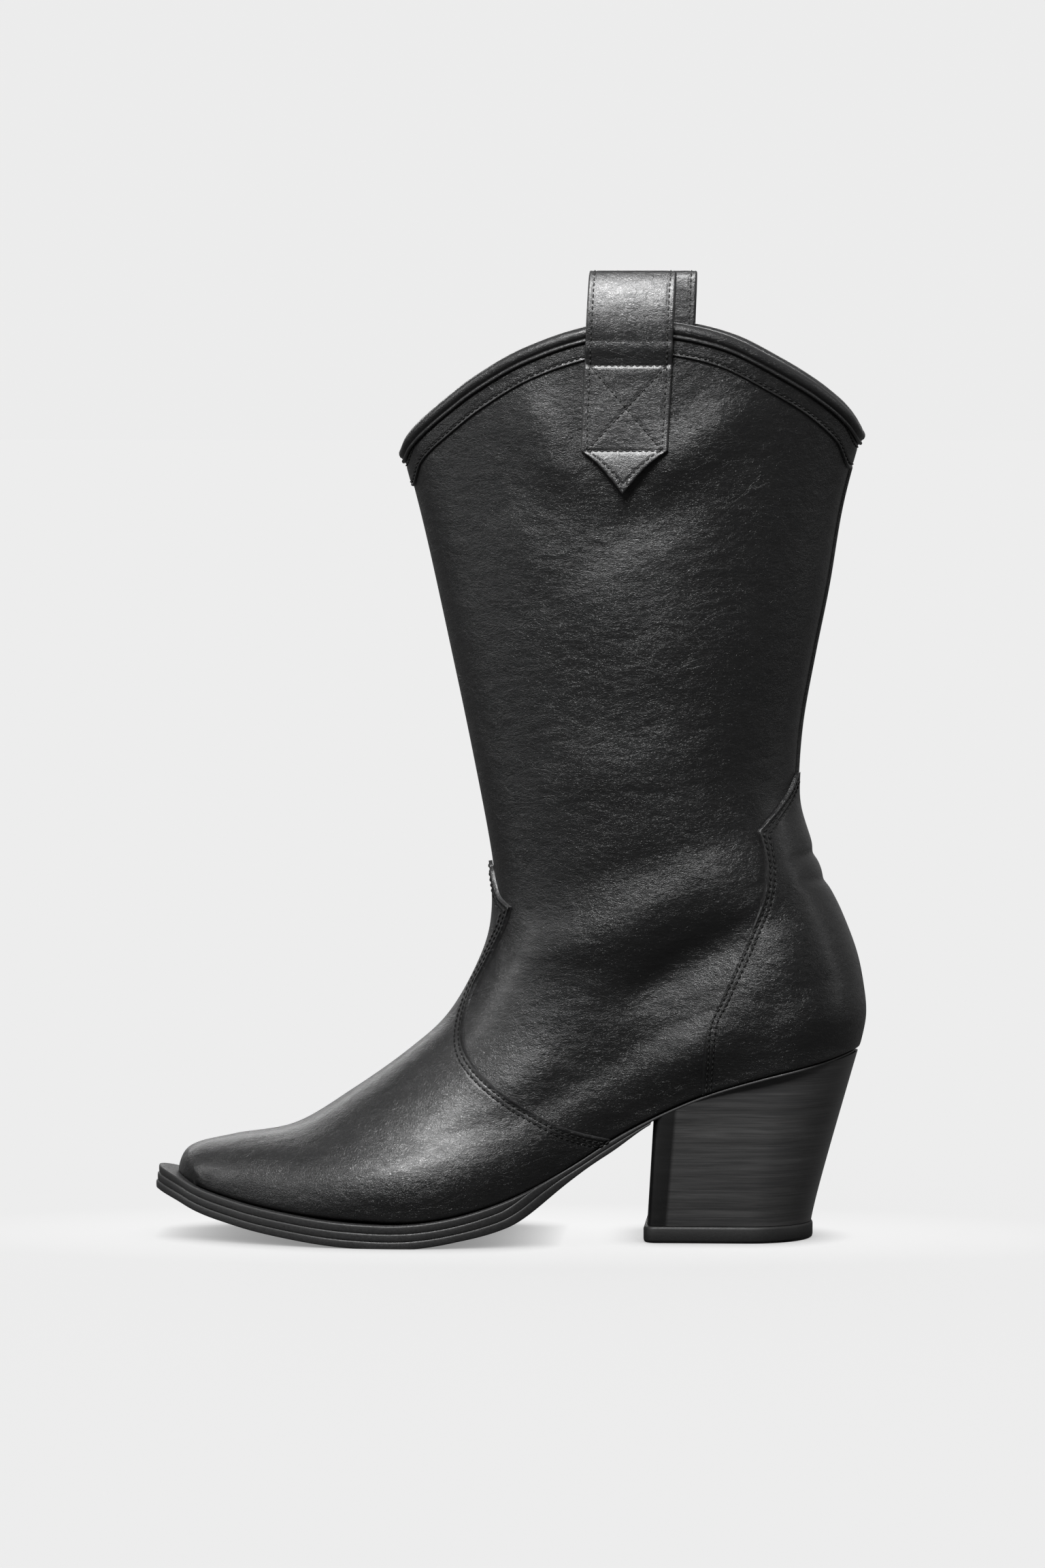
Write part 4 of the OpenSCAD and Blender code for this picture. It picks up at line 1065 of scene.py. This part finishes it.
class Nodes:
    """Short hand for building one node material."""

    def __init__(self, name):
        self.material = bpy.data.materials.new(name)
        self.material.use_nodes = True
        self.tree = self.material.node_tree
        self.tree.nodes.clear()
        self.shader = self.add("ShaderNodeBsdfPrincipled")
        out = self.add("ShaderNodeOutputMaterial")
        self.link(self.shader.outputs["BSDF"], out.inputs["Surface"])
        self.coords = self.add("ShaderNodeTexCoord").outputs["Object"]

    def add(self, kind, **settings):
        node = self.tree.nodes.new(kind)
        for key, value in settings.items():
            setattr(node, key, value)
        return node

    def link(self, a, b):
        self.tree.links.new(a, b)

    def put(self, node, values):
        """Sets or links inputs by name or index."""
        for key, value in values.items():
            socket = node.inputs[key]
            if hasattr(value, "is_linked"):
                self.link(value, socket)
            else:
                socket.default_value = value
        return node

    def stretched(self, x, y, z):
        node = self.add("ShaderNodeMapping")
        self.put(node, {"Vector": self.coords, "Scale": (x, y, z)})
        return node.outputs["Vector"]

    def noise(self, vector, scale, detail=3.0, rough=0.55, distort=0.0):
        node = self.add("ShaderNodeTexNoise")
        self.put(node, {"Vector": vector, "Scale": scale, "Detail": detail, "Roughness": rough,
                        "Distortion": distort})
        return node.outputs["Fac"]

    def noise_color(self, vector, scale, detail=2.0):
        node = self.add("ShaderNodeTexNoise")
        self.put(node, {"Vector": vector, "Scale": scale, "Detail": detail})
        return node.outputs["Color"]

    def cells(self, vector, scale, feature="DISTANCE_TO_EDGE"):
        node = self.add("ShaderNodeTexVoronoi", feature=feature)
        self.put(node, {"Vector": vector, "Scale": scale})
        return node.outputs["Distance"]

    def ramp(self, value, *stops):
        """A grey for each value, through (place, tone) stops."""
        node = self.add("ShaderNodeValToRGB")
        node.color_ramp.interpolation = "EASE"
        while len(node.color_ramp.elements) < len(stops):
            node.color_ramp.elements.new(0.5)
        for element, (place, tone) in zip(node.color_ramp.elements, stops):
            element.position = place
            element.color = rgba(tone)
        self.link(value, node.inputs["Fac"])
        return node.outputs["Color"]

    def span(self, value, from_low, from_high, to_low, to_high):
        node = self.add("ShaderNodeMapRange")
        self.put(node, {"Value": value, "From Min": from_low, "From Max": from_high,
                        "To Min": to_low, "To Max": to_high})
        return node.outputs["Result"]

    def math(self, kind, a, b=0.0):
        node = self.add("ShaderNodeMath", operation=kind)
        self.put(node, {0: a, 1: b})
        return node.outputs["Value"]

    def times(self, a, b):
        return self.math("MULTIPLY", a, b)

    def split(self, vector):
        return self.put(self.add("ShaderNodeSeparateXYZ"), {0: vector}).outputs

    def mix(self, share, a, b):
        """From a to b; each is a grey, an RGB triple or a socket."""
        node = self.add("ShaderNodeMix", data_type="RGBA")
        self.put(node, {"Factor": share, "A": rgba(a), "B": rgba(b)})
        return node.outputs["Result"]

    def done(self, tone, rough, normal, more):
        """The material, with these inputs and the shader's other ones from more."""
        self.put(self.shader, {"Base Color": tone, "Roughness": rough, "Normal": normal, **more})
        return self.material

    def shift(self, vector, by, amount):
        """vector moved by a colour's amount either way."""
        centred = self.add("ShaderNodeVectorMath", operation="SUBTRACT")
        self.put(centred, {0: by, 1: (0.5, 0.5, 0.5)})
        scaled = self.add("ShaderNodeVectorMath", operation="SCALE")
        self.put(scaled, {0: centred.outputs["Vector"], "Scale": amount})
        added = self.add("ShaderNodeVectorMath", operation="ADD")
        self.put(added, {0: vector, 1: scaled.outputs["Vector"]})
        return added.outputs["Vector"]

    def bump(self, height, depth, after=None):
        """Bump of this height map, depth in mm, over the bump made before it."""
        node = self.add("ShaderNodeBump")
        self.put(node, {"Height": height, "Distance": depth * MM})
        if after is not None:
            self.link(after, node.inputs["Normal"])
        return node.outputs["Normal"]

    def worn(self, tone, share, worn_tone, low=0.52):
        """tone, with share of worn_tone rubbed through on outside corners."""
        corner = self.span(self.add("ShaderNodeNewGeometry").outputs["Pointiness"], low, 0.60, 0.0, 1.0)
        return self.mix(self.times(corner, share), tone, worn_tone)


def leather_material():
    """Black embossed leather: flat glossy scales with fine creases between them, in places crinkled."""
    m = Nodes("black_grained_leather")
    base = m.stretched(1.0, 1.0, 1.75)
    warped = m.shift(base, m.noise_color(base, 170.0, 3.0), 0.0042)
    warped = m.shift(warped, m.noise_color(base, 800.0, 2.0), 0.0009)
    pebble = m.ramp(m.cells(warped, 1250.0), (0.0, 0.0), (0.22, 0.62), (0.50, 1.0))
    fine = m.ramp(m.cells(warped, 2500.0), (0.0, 0.0), (0.4, 1.0))
    swell = m.noise(warped, 620.0, 3.0, 0.55)
    roll = m.noise(m.stretched(1.0, 1.0, 1.5), 120.0, 3.0, 0.5)
    crease_field = m.noise(m.stretched(1.0, 1.0, 2.2), 60.0, 5.0, 0.62, 0.7)
    crease = m.math("ABSOLUTE", m.math("SUBTRACT", crease_field, 0.5))
    crease = m.ramp(crease, (0.0, 0.0), (0.012, 0.8), (0.05, 1.0))
    patch = m.ramp(m.noise(m.coords, 30.0, 2.0), (0.46, 0.0), (0.62, 1.0))
    crease = m.mix(patch, 1.0, crease)
    normal = m.bump(roll, 0.42)
    normal = m.bump(crease, 0.065, normal)
    normal = m.bump(swell, 0.15, normal)
    normal = m.bump(pebble, 0.050, normal)
    normal = m.bump(fine, 0.010, normal)
    tone = m.mix(m.noise(m.coords, 60.0, 5.0), (0.0035, 0.0035, 0.0036), (0.0065, 0.0065, 0.0067))
    tone = m.worn(tone, 0.55, (0.052, 0.052, 0.053), 0.515)
    rough = m.span(m.times(m.noise(m.coords, 35.0, 3.0), pebble), 0.1, 0.7, 0.39, 0.25)
    return m.done(tone, rough, normal,
                  {"Specular IOR Level": 0.5, "Coat Weight": 0.08, "Coat Roughness": 0.22})


def thread_material():
    m = Nodes("black_thread")
    lay = m.add("ShaderNodeTexWave", wave_type="BANDS", bands_direction="DIAGONAL")
    m.put(lay, {"Vector": m.coords, "Scale": 1500.0, "Distortion": 1.0})
    tone = m.mix(m.noise(m.coords, 700.0), 0.0022, 0.006)
    return m.done(tone, 0.62, m.bump(lay.outputs["Fac"], 0.05), {"Specular IOR Level": 0.3})


def sole_material():
    """Moulded black rubber: satin sides with fine flow lines and a rough top face, where painted speckled
    highlights sit on the faces that point up.
    """
    m = Nodes("moulded_sole_rubber")
    # Painted highlight: lighter specks only on faces that point up
    top = m.span(m.split(m.add("ShaderNodeNewGeometry").outputs["Normal"])["Z"], 0.75, 0.9, 0.0, 1.0)
    glint_specks = m.ramp(m.cells(m.coords, 950.0, "F1"), (0.12, 1.0), (0.30, 0.0))
    grit = m.noise(m.coords, 1300.0, 3.0, 0.7)
    flow = m.noise(m.stretched(0.35, 0.35, 3.0), 260.0, 4.0, 0.6)
    tone = m.mix(grit, 0.009, (0.018, 0.018, 0.0184))
    tone = m.mix(m.times(top, glint_specks), tone, (0.075, 0.075, 0.078))
    tone = m.worn(tone, 0.5, 0.07)
    normal = m.bump(grit, 0.05, m.bump(flow, 0.05))
    return m.done(tone, m.span(grit, 0.3, 0.7, 0.42, 0.62), normal, {"Specular IOR Level": 0.45})


# Painted shade on the heel's front corner: where it ends, how wide it fades, and how it leans with height
PAINTED_SHADE_X, PAINTED_SHADE_FADE, PAINTED_SHADE_LEAN = 55.5, 1.2, 0.085


def stack_material():
    """Heel cover printed like stacked layers under a satin lacquer, its front corner darkened to black as
    painted shade.
    """
    m = Nodes("heel_stack_layers")
    wavy = m.shift(m.stretched(0.035, 0.035, 1.0), m.noise_color(m.coords, 22.0), 0.0022)
    layers = m.noise(wavy, 620.0, 6.0, 0.62)
    broad = m.noise(m.stretched(0.12, 0.12, 1.0), 105.0, 3.0, 0.6)
    hair = m.noise(m.stretched(0.02, 0.02, 1.0), 2400.0, 3.0, 0.6)
    tone = m.ramp(layers, (0.30, 0.016), (0.47, 0.027), (0.58, 0.040), (0.75, 0.062))
    tone = m.mix(m.span(broad, 0.35, 0.65, 0.0, 0.55), tone, (0.016, 0.016, 0.017))
    tone = m.mix(m.span(hair, 0.4, 0.7, 0.0, 0.35), tone, (0.075, 0.073, 0.072))
    # Painted shade: the wrap turns near black ahead of a leaning line by its front corner
    place = m.split(m.coords)
    from_breast = m.math("SUBTRACT", place["X"], m.times(place["Z"], PAINTED_SHADE_LEAN))
    past_corner = m.span(from_breast, PAINTED_SHADE_X * MM, (PAINTED_SHADE_X + PAINTED_SHADE_FADE) * MM, 0.0, 1.0)
    tone = m.mix(past_corner, (0.0035, 0.0035, 0.0036), tone)
    normal = m.bump(hair, 0.02, m.bump(layers, 0.05))
    return m.done(tone, m.span(layers, 0.3, 0.7, 0.34, 0.46), normal,
                  {"Specular IOR Level": 0.5, "Coat Weight": 0.35, "Coat Roughness": 0.22})


def plastic_material():
    m = Nodes("heel_block_lacquer")
    tone = m.mix(m.noise(m.coords, 90.0, 4.0), 0.010, (0.020, 0.020, 0.021))
    normal = m.bump(m.noise(m.stretched(0.2, 0.2, 1.0), 500.0, 3.0), 0.03)
    return m.done(tone, m.span(m.noise(m.coords, 200.0), 0.3, 0.7, 0.26, 0.36), normal,
                  {"Coat Weight": 0.3, "Coat Roughness": 0.2})


def cloth_material(name, low, high, weave=950.0):
    """Fine woven lining bonded to a soft backing."""
    m = Nodes(name)
    warp = m.add("ShaderNodeTexWave", bands_direction="X")
    weft = m.add("ShaderNodeTexWave", bands_direction="Z")
    for node in (warp, weft):
        m.put(node, {"Vector": m.coords, "Scale": weave, "Distortion": 0.6, "Detail": 1.0})
    cross = m.times(warp.outputs["Fac"], weft.outputs["Fac"])
    fuzz = m.noise(m.coords, 1600.0, 3.0, 0.7)
    share = m.math("ADD", m.times(cross, 0.6), m.times(m.noise(m.coords, 70.0, 4.0), 0.4))
    return m.done(m.mix(share, low, high), 0.85, m.bump(fuzz, 0.05, m.bump(cross, 0.08)),
                  {"Sheen Weight": 0.25, "Specular IOR Level": 0.25})


def board_material(name, low, high, scale):
    m = Nodes(name)
    fibre = m.noise(m.stretched(1.0, 2.5, 1.0), scale, 6.0, 0.7, 0.4)
    return m.done(m.mix(fibre, low, high), m.span(fibre, 0.3, 0.7, 0.75, 0.92), m.bump(fibre, 0.15), {})


def steel_material():
    m = Nodes("shank_steel")
    brushed = m.noise(m.stretched(1.0, 14.0, 14.0), 120.0, 4.0, 0.6)
    tone = m.mix(brushed, (0.46, 0.47, 0.48), (0.62, 0.63, 0.65))
    return m.done(tone, m.span(brushed, 0.3, 0.7, 0.28, 0.42), m.bump(brushed, 0.02), {"Metallic": 1.0})


def lift_material():
    m = Nodes("top_lift_rubber")
    grit = m.noise(m.coords, 1500.0, 3.0, 0.7)
    tone = m.worn(m.mix(grit, 0.006, 0.011), 0.3, 0.03)
    return m.done(tone, m.span(grit, 0.3, 0.7, 0.5, 0.66), m.bump(grit, 0.04), {"Specular IOR Level": 0.4})


# ------------------------------------------------------------------ making the boot
make_vamp_and_counter()
for side in (LATERAL, MEDIAL):
    make_shaft(side)
    make_lining(side)
    make_band(side)
make_hidden_layers()
make_binding()
make_tape()
overlay_stitches("vamp_stitching", VAMP_EDGE)
overlay_stitches("heel_counter_stitching", COUNTER_EDGE)
band_stitches()
for side in (LATERAL, MEDIAL):
    make_strap(side)
make_sole()
make_heel()
make_inside()

LEATHER, THREAD, SOLE, STEEL = leather_material(), thread_material(), sole_material(), steel_material()
LINING_CLOTH = cloth_material("grey_lining_cloth", (0.030, 0.030, 0.031), (0.075, 0.074, 0.072))
SOCK = cloth_material("sock_liner_cloth", (0.022, 0.022, 0.023), 0.050, 700.0)
BOARD = board_material("fibre_board", (0.20, 0.14, 0.08), (0.36, 0.27, 0.17), 420.0)
CORK = board_material("cork_filler", (0.16, 0.09, 0.045), (0.42, 0.28, 0.16), 700.0)
FOAM = board_material("heel_pad_latex", (0.42, 0.38, 0.26), (0.62, 0.57, 0.42), 900.0)
# Finishes by name, of pieces and of CAD nodes that are carried over; stitching is thread, the rest leather
FINISHES = {
    THREAD: ["vamp_stitching", "heel_counter_stitching", "top_band_stitching", "pull_strap_stitching_lateral",
             "pull_strap_stitching_medial"],
    SOLE: ["welt_strip", "midsole_layer", "outsole_layer"],
    LINING_CLOTH: ["vamp_lining_cloth", "shaft_lining_cloth_lateral", "shaft_lining_cloth_medial"],
    BOARD: ["toe_puff_board", "counter_stiffener_board", "insole_board", "tuck_board"],
    STEEL: ["steel_shank", "heel_nails", "heel_screw", "top_lift_pins"],
    CORK: ["forepart_filler"], FOAM: ["heel_pad_foam"], SOCK: ["sock_liner_sheet"],
    plastic_material(): ["heel_core"], stack_material(): ["heel_wrap_stack"],
    lift_material(): ["rubber_top_lift"]}
FINISH_OF = {name: finish for finish, names in FINISHES.items() for name in names}

for piece in [o for o in bpy.context.scene.objects if o.type == "MESH"]:
    piece.data.materials.clear()
    piece.data.materials.append(FINISH_OF.get(piece.name, LEATHER))

# ------------------------------------------------------------------ studio
YAW = math.radians(3.0)
PITCH = math.radians(3.56)
DISTANCE, EYE_X, EYE_Z = 2.9, 0.0046, 0.341
SENSOR, PHOTO_HEIGHT, PIXELS_PER_MM = 36.0, 2304, 4.15


def turned(x, y, z):
    """A studio place, turned about the boot with the camera."""
    c, s = math.cos(YAW), math.sin(YAW)
    return (x * c - y * s, x * s + y * c, z)


camera_data = bpy.data.cameras.new("camera")
camera_data.sensor_fit = "VERTICAL"
camera_data.sensor_height = SENSOR
camera_data.lens = SENSOR * PIXELS_PER_MM * (DISTANCE / MM) / PHOTO_HEIGHT
camera_data.clip_end = 60.0
camera = bpy.data.objects.new("camera", camera_data)
camera.location = turned(EYE_X, -DISTANCE, EYE_Z)
camera.rotation_euler = (math.pi / 2 - PITCH, 0, YAW)
bpy.context.scene.collection.objects.link(camera)
bpy.context.scene.camera = camera

bpy.context.scene.view_settings.view_transform = "Standard"

# Tones of the studio: what the camera sees, and how bright the room is as light
# The floor's extra glow next to the boot is a painted pool of light
PALE, FLOOR_GLOW, FLOOR_PAINTED_GLOW, FLOOR_TONE, FLOOR_FILL = 0.84, 0.747, 0.12, 0.5, 0.02
ROOM_FRONT, ROOM_BACK, ROOM_TOP = 0.03, 0.42, 0.20
# Painted contact shadow: how near the boot must be for the floor's glow to darken, and the darkest share of
# the glow it leaves
PAINTED_SHADOW_REACH, PAINTED_SHADOW_TONE = 0.016, 0.3
FLOOR_HALF = 14.0


def add_floor():
    """Pale floor whose own glow hides its far edge. Near the boot the glow carries a painted pool of light,
    and ambient occlusion darkens it into a painted contact shadow. The lamps leave the floor out, so its
    shadows are soft.
    """
    mesh = bpy.data.meshes.new("studio_floor")
    r = FLOOR_HALF
    mesh.from_pydata([(-r, -r, 0), (r, -r, 0), (r, r, 0), (-r, r, 0)], [], [(0, 1, 2, 3)])
    obj = bpy.data.objects.new("studio_floor", mesh)
    bpy.context.scene.collection.objects.link(obj)
    m = Nodes("studio_floor")
    middle = m.add("ShaderNodeVectorMath", operation="LENGTH")
    m.put(middle, {0: m.stretched(1.0, 2.2, 1.0)})
    # Painted pool of light: the floor glows brighter near the boot
    near = m.span(middle.outputs["Value"], 0.02, 0.22, FLOOR_GLOW + FLOOR_PAINTED_GLOW, FLOOR_GLOW)
    # Painted contact shadow: the glow dims where ambient occlusion finds the boot close by
    open_sky = m.put(m.add("ShaderNodeAmbientOcclusion"), {"Distance": PAINTED_SHADOW_REACH})
    near = m.times(near, m.span(open_sky.outputs["AO"], 0.0, 1.0, PAINTED_SHADOW_TONE, 1.0))
    seen = m.add("ShaderNodeLightPath").outputs["Is Camera Ray"]
    strength = m.span(seen, 0.0, 1.0, FLOOR_FILL, near)
    glow = m.put(m.add("ShaderNodeEmission"), {"Color": rgba(1.0), "Strength": strength})
    m.put(m.shader, {"Base Color": rgba(FLOOR_TONE), "Roughness": 1.0, "Specular IOR Level": 0.0})
    both = m.put(m.add("ShaderNodeAddShader"), {0: glow.outputs["Emission"], 1: m.shader.outputs["BSDF"]})
    out = [n for n in m.tree.nodes if n.type == "OUTPUT_MATERIAL"][0]
    m.link(both.outputs[0], out.inputs["Surface"])
    mesh.materials.append(m.material)
    unlit = bpy.data.collections.new("unlit_floor")
    unlit.objects.link(obj)
    unlit.collection_objects[0].light_linking.link_state = "EXCLUDE"
    return unlit


def add_area(name, place, target, size, power, lit):
    """A rectangular lamp turned to a target, for the objects of one light-link collection."""
    light = bpy.data.lights.new(name, "AREA")
    light.shape = "RECTANGLE"
    light.size, light.size_y = size
    light.energy = power
    obj = bpy.data.objects.new(name, light)
    obj.location = turned(*place)
    aim = np.array(turned(*target)) - np.array(turned(*place))
    yaw = math.atan2(aim[1], aim[0]) - math.pi / 2
    obj.rotation_euler = (math.pi / 2 + math.atan2(aim[2], math.hypot(aim[0], aim[1])), 0, yaw)
    obj.light_linking.receiver_collection = lit
    bpy.context.scene.collection.objects.link(obj)


def add_world():
    """Pale to the camera; as light, a dim room in front, a pale wall behind and a soft ceiling."""
    world = bpy.data.worlds.new("pale_studio")
    world.use_nodes = True
    tree = world.node_tree
    tree.nodes.clear()
    new, link = tree.nodes.new, tree.links.new
    out, seen, lit = new("ShaderNodeOutputWorld"), new("ShaderNodeBackground"), new("ShaderNodeBackground")
    seen.inputs["Color"].default_value = rgba(PALE)
    direction, parts = new("ShaderNodeTexCoord"), new("ShaderNodeSeparateXYZ")
    link(direction.outputs["Generated"], parts.inputs[0])
    total = None
    for axis, low, high, tone in (("Y", -0.2, 0.9, ROOM_BACK), ("Z", 0.45, 0.95, ROOM_TOP)):
        span = new("ShaderNodeMapRange")
        span.interpolation_type = "SMOOTHSTEP"
        link(parts.outputs[axis], span.inputs["Value"])
        for key, value in (("From Min", low), ("From Max", high), ("To Min", 0.0), ("To Max", tone)):
            span.inputs[key].default_value = value
        add = new("ShaderNodeMath")
        add.inputs[1].default_value = ROOM_FRONT
        if total is not None:
            link(total, add.inputs[1])
        link(span.outputs["Result"], add.inputs[0])
        total = add.outputs["Value"]
    link(total, lit.inputs["Strength"])
    mix, path = new("ShaderNodeMixShader"), new("ShaderNodeLightPath")
    link(path.outputs["Is Camera Ray"], mix.inputs[0])
    link(lit.outputs[0], mix.inputs[1])
    link(seen.outputs[0], mix.inputs[2])
    link(mix.outputs[0], out.inputs["Surface"])
    bpy.context.scene.world = world


unlit_floor = add_floor()
lit_straps = bpy.data.collections.new("lit_straps")
for piece in [o for o in bpy.data.objects if o.name.startswith("pull_strap")]:
    lit_straps.objects.link(piece)
add_world()
add_area("top_box", (-0.35, -1.15, 1.42), (0.0, 0, 0.16), (0.7, 0.35), 32, unlit_floor)
add_area("loop_box", (-0.05, -0.5, 0.92), (0.045, 0, 0.33), (0.35, 0.2), 8, unlit_floor)
add_area("back_box", (-0.35, 1.6, 0.8), (0.0, 0, 0.12), (1.5, 0.25), 7, unlit_floor)
add_area("strap_box", (-0.05, -0.5, 0.92), (0.045, 0, 0.33), (0.35, 0.2), 18, lit_straps)
add_area("left_box", (-1.5, -0.35, 0.75), (0.0, 0, 0.18), (0.35, 1.0), 10, unlit_floor)
add_area("right_box", (1.5, -0.1, 0.7), (0.0, 0, 0.16), (0.3, 0.9), 2.5, unlit_floor)
